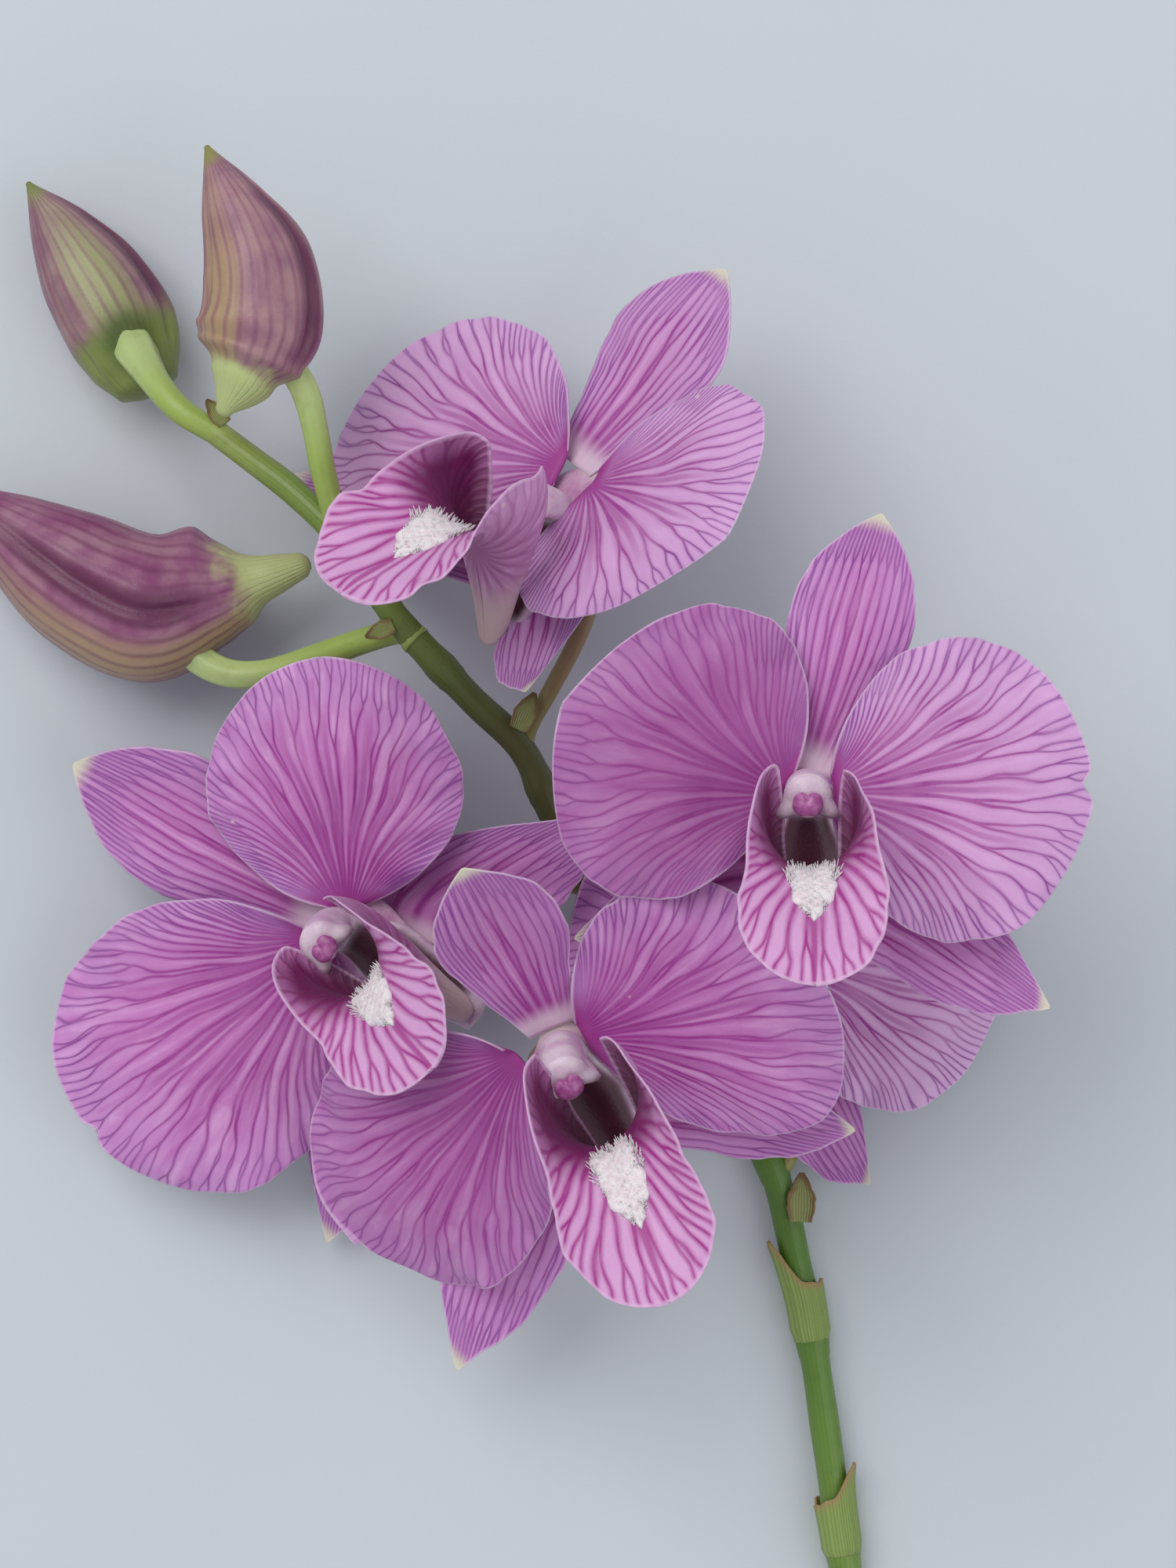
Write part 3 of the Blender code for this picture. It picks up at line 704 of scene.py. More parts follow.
@dataclass(frozen=True)
class BudFinish(Finish):
    """Closed orchid bud: waxy sepals, striped along, greenish at both ends."""

    mauve: str
    pale: str
    stripe: str
    base: str
    tip: str
    keel: float  # degrees round the bud where its pale green keel runs
    keel_width: float
    keel_colour: str
    creases: tuple[float, ...]  # degrees round the bud where painted shade darkens a fold
    base_until: float  # share of the length
    # Painted shade along the folds.
    painted_crease_shade: str = "#5d2245"
    painted_recess_shade: str = "#4a5c26"  # painted shade round where the stalk enters
    stripes: float = 26.0
    crease_width: float = 20.0

    def paint(self, coat: Coat) -> dict[str, Term]:
        """Paint the bud, whose mark holds the share along and the angle's cosine and sine.

        Args:
            coat: the finish being made.

        Returns:
            What each input of the surface is.
        """
        spot = coat.spot
        along, cosine, sine = coat.mark("place")
        hollow, _, _ = coat.mark("hollow")
        angle = ("ARCTAN2", sine, cosine)
        blotch = ("EASE", ("CLOUD", spot, 1 / 4.0, 3.0), 0.3, 0.7, 0.0, 1.0)
        colour = ("BLEND", blotch, self.mauve, self.pale)
        near = ("COSINE", ("SUBTRACT", angle, math.radians(self.keel)))
        keel = ("EASE", near, math.cos(math.radians(self.keel_width)), 1.0, 0.0, 1.0)
        keel = ("MULTIPLY", keel, ("EASE", along, 0.9, 0.5, 0.35, 1.0))
        colour = ("BLEND", keel, colour, self.keel_colour)
        waver = ("MULTIPLY", ("SUBTRACT", ("CLOUD", spot, 1 / 9.0, 0.0), 0.5), 0.3)
        line = ("PINGPONG", ("MULTIPLY", ("ADD", angle, waver), self.stripes / 2 / math.pi), 0.5)
        strength = ("MULTIPLY_ADD", ("CLOUD", spot, 1 / 5.0, 2.0), 0.9, -0.02)
        lines = ("MULTIPLY", ("EASE", line, 0.02, 0.3, 1.0, 0.0), strength)
        colour = ("BLEND", lines, colour, self.stripe)
        part = (
            "MULTIPLY", ("EASE", along, 0.15, 0.35, 0.0, 1.0), ("EASE", along, 0.95, 0.7, 0.0, 1.0)
        )
        # Painted shade darkens the bud along each fold, over the middle of its length.
        for at in self.creases:
            beside = ("COSINE", ("SUBTRACT", angle, math.radians(at)))
            fold = ("EASE", beside, math.cos(math.radians(self.crease_width)), 1.0, 0.0, 0.85)
            colour = ("BLEND", ("MULTIPLY", fold, part), colour, self.painted_crease_shade)
        rough = ("MULTIPLY", ("SUBTRACT", ("CLOUD", spot, 1 / 2.5, 2.0), 0.5), 0.12)
        lower = ("ADD", along, rough)
        base = ("EASE", lower, self.base_until * 0.55, self.base_until, 1.0, 0.0)
        colour = ("BLEND", base, colour, self.base)
        colour = ("BLEND", ("EASE", lower, 0.9, 0.99, 0.0, 1.0), colour, self.tip)
        # Painted shade in the hollow where the stalk enters the bud.
        colour = ("BLEND", ("EASE", hollow, 0.1, 0.75, 0.0, 0.85), colour, self.painted_recess_shade)
        grain = ("MULTIPLY", ("CLOUD", spot, 1 / 0.5, 3.0), 0.4)
        height = ("ADD", ("MULTIPLY", lines, -0.6), grain)
        return {
            "Base Color": colour,
            "Roughness": ("MULTIPLY_ADD", ("CLOUD", spot, 1 / 1.2, 2.0), 0.15, 0.34),
            "IOR": 1.42,
            "Subsurface Weight": 0.2,
            "Subsurface Radius": (1.0, 0.6, 0.6),
            "Subsurface Scale": 0.001,
            "Coat Weight": 0.12,
            "Coat Roughness": 0.3,
            "Normal": ("RELIEF", height, 0.18 * METRES_PER_MM, 1.0),
        }


@dataclass(frozen=True)
class StemFinish(Finish):
    """Green orchid stem: smooth waxy skin with faint ribs and pores."""

    colours: tuple[tuple[float, str], ...]  # (share of the length, colour)
    speck: str
    ribs: float = 22.0
    roughness: float = 0.29  # the least of it

    def paint(self, coat: Coat) -> dict[str, Term]:
        """Paint the skin, whose mark holds the share along and the angle's cosine and sine.

        Args:
            coat: the finish being made.

        Returns:
            What each input of the surface is.
        """
        spot = coat.spot
        along, cosine, sine = coat.mark("place")
        rough = ("MULTIPLY", ("SUBTRACT", ("CLOUD", spot, 1 / 5.0, 2.0), 0.5), 0.06)
        ragged = ("ADD", along, rough)
        colour = self.colours[0][1]
        for (start, _), (end, shade) in zip(self.colours, self.colours[1:], strict=False):
            colour = ("BLEND", ("EASE", ragged, start, end, 0.0, 1.0), colour, shade)
        rib = ("MULTIPLY", ("ARCTAN2", sine, cosine), self.ribs / 2 / math.pi)
        rib = ("PINGPONG", rib, 0.5)
        colour = ("BLEND", ("EASE", rib, 0.05, 0.4, 0.12, 0.0), colour, self.speck)
        pores = ("EASE", ("CELLS", spot, 1.1), 0.05, 0.14, 0.3, 0.0)
        colour = ("BLEND", pores, colour, self.speck)
        stain = ("EASE", ("CLOUD", spot, 1 / 2.5, 3.0), 0.5, 0.8, 0.0, 0.3)
        colour = ("BLEND", stain, colour, self.speck)
        grain = ("MULTIPLY", ("CLOUD", spot, 1 / 0.5, 3.0), 0.5)
        height = ("ADD", ("MULTIPLY", rib, 0.25), grain)
        return {
            "Base Color": colour,
            "Roughness": ("MULTIPLY_ADD", ("CLOUD", spot, 1.0, 2.0), 0.15, self.roughness),
            "IOR": 1.42,
            "Subsurface Weight": 0.1,
            "Subsurface Radius": (0.6, 1.0, 0.3),
            "Subsurface Scale": 0.0006,
            "Coat Weight": 0.15,
            "Coat Roughness": 0.3,
            "Normal": ("RELIEF", height, 0.14 * METRES_PER_MM, 0.8),
        }


@dataclass(frozen=True)
class ScaleFinish(Finish):
    """Drying leaf scale: papery, ribbed along, browned at its margin."""

    ground: str
    rib: str
    margin: str
    ribs: float = 18.0

    def paint(self, coat: Coat) -> dict[str, Term]:
        """Paint the scale, whose mark holds the share along, mm from the margin, and across.

        Args:
            coat: the finish being made.

        Returns:
            What each input of the surface is.
        """
        spot = coat.spot
        along, margin, across = coat.mark("place")
        rib = ("PINGPONG", ("MULTIPLY", across, self.ribs / 2), 0.5)
        patch = ("CLOUD", spot, 1 / 1.8, 3.0)
        colour = ("BLEND", ("EASE", rib, 0.0, 0.35, 0.6, 0.0), self.ground, self.rib)
        dry = ("ADD", margin, ("MULTIPLY", ("SUBTRACT", patch, 0.5), 1.4))
        colour = ("BLEND", ("EASE", dry, 0.1, 0.9, 0.9, 0.0), colour, self.margin)
        colour = ("BLEND", ("EASE", along, 0.75, 1.0, 0.0, 0.5), colour, self.margin)
        grain = ("MULTIPLY", ("CLOUD", spot, 1 / 0.5, 3.0), 0.5)
        height = ("ADD", ("MULTIPLY", rib, 1.2), grain)
        return {
            "Base Color": colour,
            "Roughness": ("MULTIPLY_ADD", patch, 0.2, 0.45),
            "IOR": 1.4,
            "Subsurface Weight": 0.15,
            "Subsurface Radius": (0.8, 1.0, 0.4),
            "Subsurface Scale": 0.0006,
            "Normal": ("RELIEF", height, 0.16 * METRES_PER_MM, 1.0),
        }


@dataclass(frozen=True)
class CutFinish(Finish):
    """Fresh cut through a green stem: moist pith with darker strands."""

    pith: str
    strand: str
    skin: str
    strand_space: float = 0.34  # millimetres

    def paint(self, coat: Coat) -> dict[str, Term]:
        """Paint the cut, whose mark's first number is the share of the radius.

        Args:
            coat: the finish being made.

        Returns:
            What each input of the surface is.
        """
        out, _, _ = coat.mark("cut")
        strands = ("CELLS", coat.spot, 1 / self.strand_space)
        colour = ("BLEND", ("EASE", strands, 0.12, 0.4, 0.9, 0.0), self.pith, self.strand)
        colour = ("BLEND", ("EASE", out, 0.8, 0.95, 0.0, 1.0), colour, self.skin)
        return {
            "Base Color": colour,
            "Roughness": 0.35,
            "IOR": 1.38,
            "Subsurface Weight": 0.2,
            "Subsurface Scale": 0.0006,
            "Normal": ("RELIEF", strands, 0.12 * METRES_PER_MM, 1.0),
        }


@dataclass(frozen=True)
class TableFinish(Finish):
    """Satin laminate: an even pale top whose faint mottle keeps it from looking empty."""

    ground: str = "#c9cfd5"
    mottle: str = "#c0c7ce"

    def paint(self, coat: Coat) -> dict[str, Term]:
        """Paint the table.

        Args:
            coat: the finish being made.

        Returns:
            What each input of the surface is.
        """
        mottle = ("EASE", ("CLOUD", coat.spot, 1 / 60.0, 3.0), 0.3, 0.7, 0.0, 0.25)
        grain = ("CLOUD", coat.spot, 1 / 0.6, 2.0)
        return {
            "Base Color": ("BLEND", mottle, self.ground, self.mottle),
            "Roughness": 0.6,
            "Normal": ("RELIEF", grain, 0.02 * METRES_PER_MM, 1.0),
        }


# ---------------------------------------------------------------- blades


@dataclass(frozen=True)
class Fan:
    """Where the veins of a blade spring from and how they spread."""

    count: float  # veins, as in the finish
    angle: float = 0.0  # degrees from the midrib to the outermost vein; 0 for veins along it
    start: float = 0.0  # for a fan with an angle: millimetres from the foot, along the midrib
    spread: float = 0.0  # and how much wider it has opened at the tip
    follow: float = 0.0  # for one without: how much veins bend in with the outline


@dataclass(frozen=True)
class Blade:
    """One leaf-like organ. Each outline or angle is a list of (share of length, value)."""

    length: float
    half_width: Profile
    cup: Profile  # half angle through which a section curls forward
    arch: Profile  # slope of the midrib towards the front
    fan: Fan
    sweep: Profile = ((0, 0), (1, 0))  # slope of the midrib sideways
    rake: Profile = ((0, 0), (1, 0))  # how far a section tips towards the tip
    depth: float = 1.0  # how deep a section is against a round one
    ruffle: float = 0.0  # height of the waves in the margin
    waves: float = 2.0  # waves along the length
    skew: float = 0.2  # how far, in waves, one margin's waves run ahead
    thickness: float = 0.5
    margin_share: float = 0.4  # thickness at the margin against the middle
    groove: float = 0.22  # depth of the channel along the midrib
    frill: float = 0.012  # unevenness of the outline against its width
    notch: float = 0.0  # depth of the nick at the tip
    rounded: bool = False  # whether the tip is round instead of pointed
    rows: int = 72
    columns: int = 56


@dataclass
class BladeForm:
    """A blade worked out as a grid, rows along it and columns across it."""

    blade: Blade
    seed: int

    def __post_init__(self) -> None:
        """Work out the middle surface and what the finish needs to know of it."""
        b = self.blade
        phase = np.random.default_rng(self.seed).uniform(0, 2 * math.pi, 6)
        t = 1 - (1 - np.linspace(0, 1, b.rows + 1)) ** TIP_CROWDING[b.rounded]
        middle = self._midrib(t)[:, None]
        rise = np.radians(through(b.arch, t) - through(b.rake, t))[:, None]
        t = t[:, None]
        across = np.linspace(-1, 1, b.columns + 1)[None, :]
        self.along, self.across = np.broadcast_arrays(t, across)
        half_width = self._half_width(t) * (1 + self._unevenness(t, across, phase))
        flat_x, flat_y = b.length * self.along, half_width * across

        curl = np.radians(through(b.cup, t))
        curl = np.where(np.abs(curl) < LEAST_CURL, LEAST_CURL, curl)
        radius = half_width / curl
        y = radius * np.sin(curl * across)
        z = b.depth * radius * (1 - np.cos(curl * across))
        z = z + self._relief(t, across, flat_x, flat_y, phase)
        nick = b.notch * bump(flat_y, 0.4, 1.3) * ease(t, 0.86, 1.0)
        self.points = np.stack(
            [
                middle[..., 0] - nick - z * np.sin(rise),
                middle[..., 1] + y,
                middle[..., 2] + z * np.cos(rise),
            ],
            axis=2,
        )
        self._lay_veins(flat_x, flat_y)

    def _midrib(self, t: np.ndarray) -> np.ndarray:
        """Follow the curved midrib.

        Args:
            t: shares of the length.

        Returns:
            The points of the midrib there.
        """
        share = np.linspace(0, 1, MIDRIB_STEPS + 1)
        rise = np.radians(through(self.blade.arch, share))
        side = np.radians(through(self.blade.sweep, share))
        way = np.stack([np.cos(rise) * np.cos(side), np.cos(rise) * np.sin(side), np.sin(rise)], 1)
        midrib = np.concatenate([np.zeros((1, 3)), np.cumsum((way[1:] + way[:-1]) / 2, axis=0)])
        return read_path(midrib * self.blade.length / MIDRIB_STEPS, share, t)

    def _unevenness(self, t: np.ndarray, across: np.ndarray, phase: np.ndarray) -> np.ndarray:
        """Waver the outline, each margin in its own way.

        Args:
            t: shares of the length.
            across: how far across, from -1 to 1.
            phase: chance phases of the waves.

        Returns:
            How much wider the blade is at each point, against its width.
        """
        waves = ((3.3, 1.0), (7.1, 2.0), (12.7, 4.0))  # how many, and what divides their height
        uneven = sum(
            np.sin(2 * math.pi * count * t + phase[i] + (across > 0) * phase[i + 1]) / part
            for i, (count, part) in enumerate(waves)
        )
        return self.blade.frill * uneven * across**2 * ease(t, 0.05, 0.25)

    def _relief(
        self,
        t: np.ndarray,
        across: np.ndarray,
        flat_x: np.ndarray,
        flat_y: np.ndarray,
        phase: np.ndarray,
    ) -> np.ndarray:
        """Raise the ruffled margin, the groove along the midrib and the swellings between.

        Args:
            t: shares of the length.
            across: how far across, from -1 to 1.
            flat_x: millimetres along the blade, as if laid flat.
            flat_y: millimetres from its midrib.
            phase: chance phases of the waves.

        Returns:
            How far each point stands in front of a smooth blade.
        """
        b = self.blade
        ripple = np.sin(2 * math.pi * (b.waves * t + b.skew * across))
        fine = np.sin(2 * math.pi * (2.7 * b.waves * t + 0.3 * across) + phase[4])
        ruffle = b.ruffle * np.abs(across) ** 3 * (ripple + 0.3 * fine)
        ends = ease(t, 0.02, 0.2) * ease(t, 1.0, 0.7)
        groove = b.groove * ends * (bump(flat_y, 0.0, 0.9) - 0.4 * bump(flat_y, 0.0, 3.0))
        swell = np.sin(flat_x * 0.34 + phase[5]) * np.sin(flat_y * 0.3 + phase[3])
        return ruffle - groove + 0.4 * swell * ease(t, 0.1, 0.4) * min(1.0, b.length / 25)

    def _half_width(self, t: np.ndarray) -> np.ndarray:
        """Read the outline; a round tip comes of smoothing its square past the end.

        Args:
            t: shares of the length.

        Returns:
            The half width there.
        """
        if not self.blade.rounded:
            return through(self.blade.half_width, t)
        dense = np.linspace(0, 1, SMOOTHING_STEPS + 1)
        square = through(tuple((x, y * y) for x, y in self.blade.half_width), dense)
        reach = SMOOTHING_STEPS // 8
        before = 2 * square[0] - square[reach:0:-1]
        padded = np.concatenate([before, square, -square[-2 : -reach - 2 : -1]])
        weight = bump(np.arange(-reach, reach + 1), 0.0, SMOOTHING_STEPS * OUTLINE_SMOOTHING)
        smooth = np.convolve(padded, weight / weight.sum(), "valid")
        return np.sqrt(np.clip(np.interp(t, dense, smooth), 0.01, None))

    def _lay_veins(self, flat_x: np.ndarray, flat_y: np.ndarray) -> None:
        """Find which vein each point is on, how far out it is, and its distance to the margin.

        Args:
            flat_x: millimetres along the blade, as if laid flat.
            flat_y: millimetres from its midrib.
        """
        fan = self.blade.fan
        flat = np.stack([flat_x, flat_y], axis=2)
        outline = []
        for line in (flat[:, 0], flat[:, -1], flat[-1]):
            run = run_along(line)
            count = max(8, int(run[-1] / OUTLINE_STEP))
            outline.append(read_path(line, run, np.linspace(0, run[-1], count)))
        outline = np.concatenate(outline)
        gap = np.hypot(flat_x[..., None] - outline[:, 0], flat_y[..., None] - outline[:, 1])
        self.margin = gap.min(axis=2)
        if fan.angle:
            out = np.hypot(flat_x - fan.start, flat_y)
            opened = math.radians(fan.angle) * (0.8 + fan.spread * out / self.blade.length)
            self.label = np.arctan2(flat_y, flat_x - fan.start) / opened
            self.pitch = opened * out * 2 / fan.count
        else:
            out = flat_x
            half = np.abs(flat_y).max(axis=1, keepdims=True)
            held = np.maximum.accumulate(half, axis=0)
            spread = fan.follow * half + (1 - fan.follow) * held + 0.3
            self.label, self.pitch = flat_y / spread, spread * 2 / fan.count
        self.reach = out / (out + self.margin + 1e-6)

    def marks(self) -> Marks:
        """What the finish reads: vein number, reach and pitch; share along, margin and across."""
        return {
            "vein": mark(self.label, self.reach, self.pitch),
            "place": mark(self.along, self.margin, self.across),
        }


def new_blade(
    name: str,
    form: BladeForm,
    points: np.ndarray,
    facing_up: bool,
    finishes: tuple[Material, Material],
    tone: float = 0.0,
) -> Piece:
    """Make a blade with a thickness that thins out to its margin.

    Args:
        name: the piece's name.
        form: the blade.
        points: its middle surface in the layout.
        facing_up: whether the columns run so that the front is where a grid's normals point.
        finishes: for its front and its back.
        tone: how much darker or, below 0, paler than usual it is, partly its own colour and partly
            painted shade and painted light.

    Returns:
        The piece.
    """
    marks = {**form.marks(), "tone": np.full(points.shape, tone)}
    thin = form.blade.margin_share
    body = thin + (1 - thin) * ease(form.margin, 0, THINNING_REACH)
    if not facing_up:
        points, body = points[:, ::-1], body[:, ::-1]
        marks = {key: values[:, ::-1] for key, values in marks.items()}
    piece = new_sheet(name, points, marks)
    for finish in finishes:
        piece.data.materials.append(finish)
    layer = piece.vertex_groups.new(name="body")
    half_step = (THICKNESS_LEVELS[1] - THICKNESS_LEVELS[0]) / 2
    for level in THICKNESS_LEVELS:
        near = np.nonzero(np.abs(body.ravel() - level) <= half_step)[0]
        layer.add(near.tolist(), float(level), "REPLACE")
    thicken(piece, form.blade.thickness, vertex_group="body", material_offset=1)
    piece.vertex_groups.clear()
    return piece


# ---------------------------------------------------------------- finishes in use


# A petal's veins fork three times on their way to the margin, a sepal's and a lip's twice.
PETAL_VEINS = Veining(
    count=11.0, forks=((0.16, 0.4), (0.55, 0.84), (0.84, 0.99)), width_foot=0.7, width_margin=0.26
)
SEPAL_VEINS = Veining(
    count=7.0, forks=((0.5, 0.85), (0.82, 0.98)), width_foot=0.75, width_margin=0.26, wander=0.2,
    bold=0.8,
)
LIP_VEINS = Veining(
    count=13.0, forks=((0.4, 0.7), (0.78, 0.96)), width_foot=0.9, width_margin=0.3, wander=0.45
)

# Petal: waxy cells over a clear body, which give a soft sheen and a colour lit from within.
PETAL_FRONT = BladeFinish(
    heart="#b550a6", ground="#c87cbe", outer="#ca8dc9", vein="#971f88", margin_vein="#8a4396",
    rim="#dfc6df", foot="#a13c8e", tip="#dcc6dc", veining=PETAL_VEINS,
)
# The back of a petal is paler, and its veins show through as if under milk.
PETAL_BACK = replace(
    PETAL_FRONT, heart="#c07ab6", ground="#cd97ca", outer="#d2a8d4", vein="#a14c98",
    vein_strength=0.65,
)
# Sepal: firmer and plainer than a petal, whitish at its foot and greenish at its tip.
SEPAL_FRONT = replace(
    PETAL_FRONT, heart="#c67cbb", ground="#c67abb", outer="#c788c5", veining=SEPAL_VEINS,
    foot="#dcbfd3", foot_reach=0.15, tip="#dedcc0", tip_reach=0.92,
)
SEPAL_BACK = replace(
    SEPAL_FRONT, heart="#cb9cc2", ground="#cf9fcc", outer="#d3b0d5", vein="#a5589c",
    vein_strength=0.6,
)
# Lip: the darkest skin of the flower in its throat, which makes the white callus stand out.
LIP_INSIDE = LipFinish(
    throat="#5f3840", burgundy="#74195a", lobe_rim="#b976ae", ground="#d79bd0", vein="#a31f86",
    rim="#dcb4d8", veining=LIP_VEINS,
)
LIP_OUTSIDE = replace(
    PETAL_FRONT, heart="#a3608f", ground="#b0689f", outer="#bf8cb5", vein="#8d3578",
    margin_vein="#8d4f86", foot="#cdb4b4", foot_reach=0.3, veining=replace(LIP_VEINS, bold=0.16),
    vein_strength=0.35,
)
# Callus: dry white hairs that scatter light, so that the pad looks like felt.
CALLUS = PlainTissue(
    base="#f3eaec", blotch="#eadce2", end="#faf6f4", foot="#e8d6df", foot_until=0.0, patch=1.0,
    roughness=0.6, grain=0.35, depth=0.2, glow=0.4,
)
# Column and collar: smooth fleshy tissue, pale and a little glossy, dark in the throat.
COLUMN = PlainTissue(
    base="#d3b3cc", blotch="#e4d5de", end="#e6d2e0", foot="#4f2436", foot_until=0.62,
    end_from=0.9, patch=2.0, roughness=0.36, depth=0.06, coat_weight=0.04,
)
COLLAR = PlainTissue(
    base="#b77aa8", blotch="#cfa9c2", end="#d9c6c4", foot="#b77aa8", foot_until=0.0, end_from=0.6,
    end_over=0.4, patch=2.5, roughness=0.45,
)
# Anther cap: a hard shiny helmet, the deepest purple of the column.
ANTHER = PlainTissue(
    base="#a04a8c", blotch="#bb77ab", end="#e0c6da", foot="#a04a8c", foot_until=0.0,
    end_from=0.72, patch=0.8, roughness=0.34, depth=0.06, coat_weight=0.25,
)
# Buds: taut waxy skin with a dull shine, striped by veins and folded in where sepals meet, with
# painted shade along the folds and in the hollow round the stalk.
BUD_FINISHES = {
    "bud_1": BudFinish(
        mauve="#8a5f72", pale="#a07f80", stripe="#7a4560", base="#7f8e4c", tip="#7f8a48", keel=8.0,
        keel_width=42.0, keel_colour="#a2a276", creases=(70.0,), base_until=0.3,
    ),
    "bud_2": BudFinish(
        mauve="#93657a", pale="#a98387", stripe="#7a3f60", base="#b7c283", tip="#8f8a4c", keel=-42.0,
        keel_width=38.0, keel_colour="#a98d6c", creases=(62.0, -100.0), base_until=0.2,
    ),
    "bud_3": BudFinish(
        mauve="#8c4a75", pale="#a07286", stripe="#703058", base="#b0b57c", tip="#a5a45c", keel=-62.0,
        keel_width=40.0, keel_colour="#a98d72", creases=(-4.0, 100.0), base_until=0.2,
    ),
}
# Stem: firm green skin with a low wax bloom, bronzed where the flowers spring.
STEM_SKIN = StemFinish(
    colours=(
        (0.0, "#6d8c3a"), (0.28, "#557a28"), (0.46, "#4d6a26"), (0.56, "#434420"),
        (0.7, "#53532c"), (0.8, "#5f6f2d"), (0.9, "#71883b"), (1.0, "#93a457"),
    ),
    speck="#3d4a1e",
)
# Cut end: wet pith, pale against the skin round it.
STEM_CUT = CutFinish(pith="#b9c98a", strand="#7f9a4a", skin="#4f6f28")
# Pedicels: thin skin over clear tissue, lighter towards the bud, blushed towards the flower.
GREEN_PEDICEL = StemFinish(
    colours=((0.0, "#93a457"), (0.3, "#9db257"), (0.8, "#b7c886"), (1.0, "#c6d3a4")),
    speck="#7f9545", ribs=9.0,
)
BLUSHED_PEDICEL = StemFinish(
    colours=((0.0, "#8f8f4a"), (0.35, "#9c8660"), (0.75, "#a89a70"), (1.0, "#b8ad86")),
    speck="#8c6a52", ribs=9.0,
)
# Sheaths and bracts: leaf drying to paper, dull and ribbed, brown at the edge.
SHEATH = ScaleFinish(ground="#8fa45c", rib="#718a42", margin="#a58b5e")
BRACT = ScaleFinish(ground="#9aa066", rib="#7f8a4e", margin="#8a6a4c", ribs=10.0)


# ---------------------------------------------------------------- the flower


@dataclass(frozen=True)
class Stance:
    """How a blade is set on its flower, and its size and liveliness against the usual."""

    base: Place
    azimuth: float
    tilt: float = 0.0
    roll: float = 0.0
    length: float = 1.0
    width: float = 1.0
    lean: float = 0.0  # how far the upper margin is drawn back to the base
    ruffle: float = 1.0
    notch: float = 0.0
    tone: float = 0.0  # share of a deeper colour in it, or less than 0 for a paler one; partly the blade's own colour, partly painted shade and painted light
    trail: float = 0.0  # how far the lower margin is drawn back to the base
    depth: float = 1.0  # how far it rises out of its plane
    taper: float = 0.0  # how much narrower it is towards its tip

    def set(self, points: np.ndarray, hand: Hand) -> np.ndarray:
        """Set a blade on its flower.

        Args:
            points: the blade as it is drawn.
            hand: whether it is mirrored.

        Returns:
            The points in the flower's own frame.
        """
        sized = points * (self.length, self.width, self.length * self.depth)
        sized[..., 1] *= 1 - self.taper * (points[..., 0] / points[..., 0].max()) ** 2
        sized[..., 0] -= self.lean * sized[..., 1] - self.trail * np.minimum(sized[..., 1], 0)
        turn = turned(self.azimuth, self.tilt, self.roll)
        return sized * (1, hand.value, 1) @ turn.T + np.array(self.base)


DORSAL_SEPAL = Blade(
    length=31.0,
    half_width=(
        (0, 2.8), (0.12, 3.8), (0.3, 5.5), (0.48, 7.1), (0.6, 7.5), (0.75, 6.5), (0.88, 4.1),
        (0.96, 1.7), (1, 0.2),
    ),
    cup=((0, 20), (0.3, 6), (1, 12)),
    arch=((0, -5), (0.5, -1), (1, 4)),
    fan=Fan(count=7.0, follow=0.35),
    columns=36,
    groove=0.3,
)
LATERAL_SEPAL = Blade(
    length=31.0,
    half_width=(
        (0, 6.4), (0.15, 8.2), (0.35, 8.9), (0.6, 7.4), (0.8, 4.4), (0.9, 2.3), (0.96, 1.1),
        (1, 0.2),
    ),
    cup=((0, 4), (0.4, 4), (1, 8)),
    arch=((0, -10), (0.5, -2), (1, 6)),
    sweep=((0, 8), (0.3, -26), (1, -34)),
    fan=Fan(count=7.0, follow=0.4),
    columns=40,
    groove=0.3,
)
PETAL = Blade(
    length=30.0,
    half_width=(
        (0, 2.2), (0.03, 4.6), (0.08, 7.9), (0.2, 12.6), (0.36, 16.2), (0.54, 17.5), (0.7, 16.9),
        (0.84, 14.2), (0.94, 9.4), (1, 0.3),
    ),
    rounded=True,
    frill=0.008,
    cup=((0, 8), (0.2, 2), (0.7, -8), (1, -10)),
    arch=((0, 3), (0.5, 3), (1, -12)),
    fan=Fan(start=-2.0, angle=60.0, spread=0.7, count=11.0),
    ruffle=0.7,
    waves=2.2,
    rows=80,
    columns=72,
)
LIP = Blade(
    length=33.5,
    half_width=(
        (0, 2.2), (0.1, 4.4), (0.2, 8.2), (0.3, 12.6), (0.38, 14.2), (0.45, 12.8), (0.53, 10.0),
        (0.6, 8.8), (0.75, 8.9), (0.88, 7.6), (0.96, 5.0), (1, 0.3),
    ),
    cup=(
        (0, 80), (0.1, 100), (0.2, 125), (0.3, 140), (0.38, 140), (0.47, 114), (0.55, 72),
        (0.62, 42), (0.78, 22), (1, 0),
    ),
    arch=(
        (0, 152), (0.2, 144), (0.36, 130), (0.46, 104), (0.53, 66), (0.62, 42), (0.85, 36), (1, 26),
    ),
    rake=((0, 62), (0.2, 55), (0.36, 42), (0.46, 16), (0.54, 0), (1, 0)),
    fan=Fan(start=13.0, angle=120.0, spread=0.2, count=13.0),
    depth=1.2,
    ruffle=0.45,
    waves=3.4,
    groove=0.15,
    frill=0.025,
    rounded=True,
    rows=110,
    columns=88,
)
DORSAL_BASE = (0.0, 3.1, -2.4)
PETAL_BASE = (2.9, 0.9, -1.0)
LATERAL_BASE = (3.1, -9.6, -4.9)
LIP_BASE = (0.0, -18.4, -0.2)


def mirrored(base: Place) -> Place:
    """The same place on the left of a flower."""
    return (-base[0], base[1], base[2])


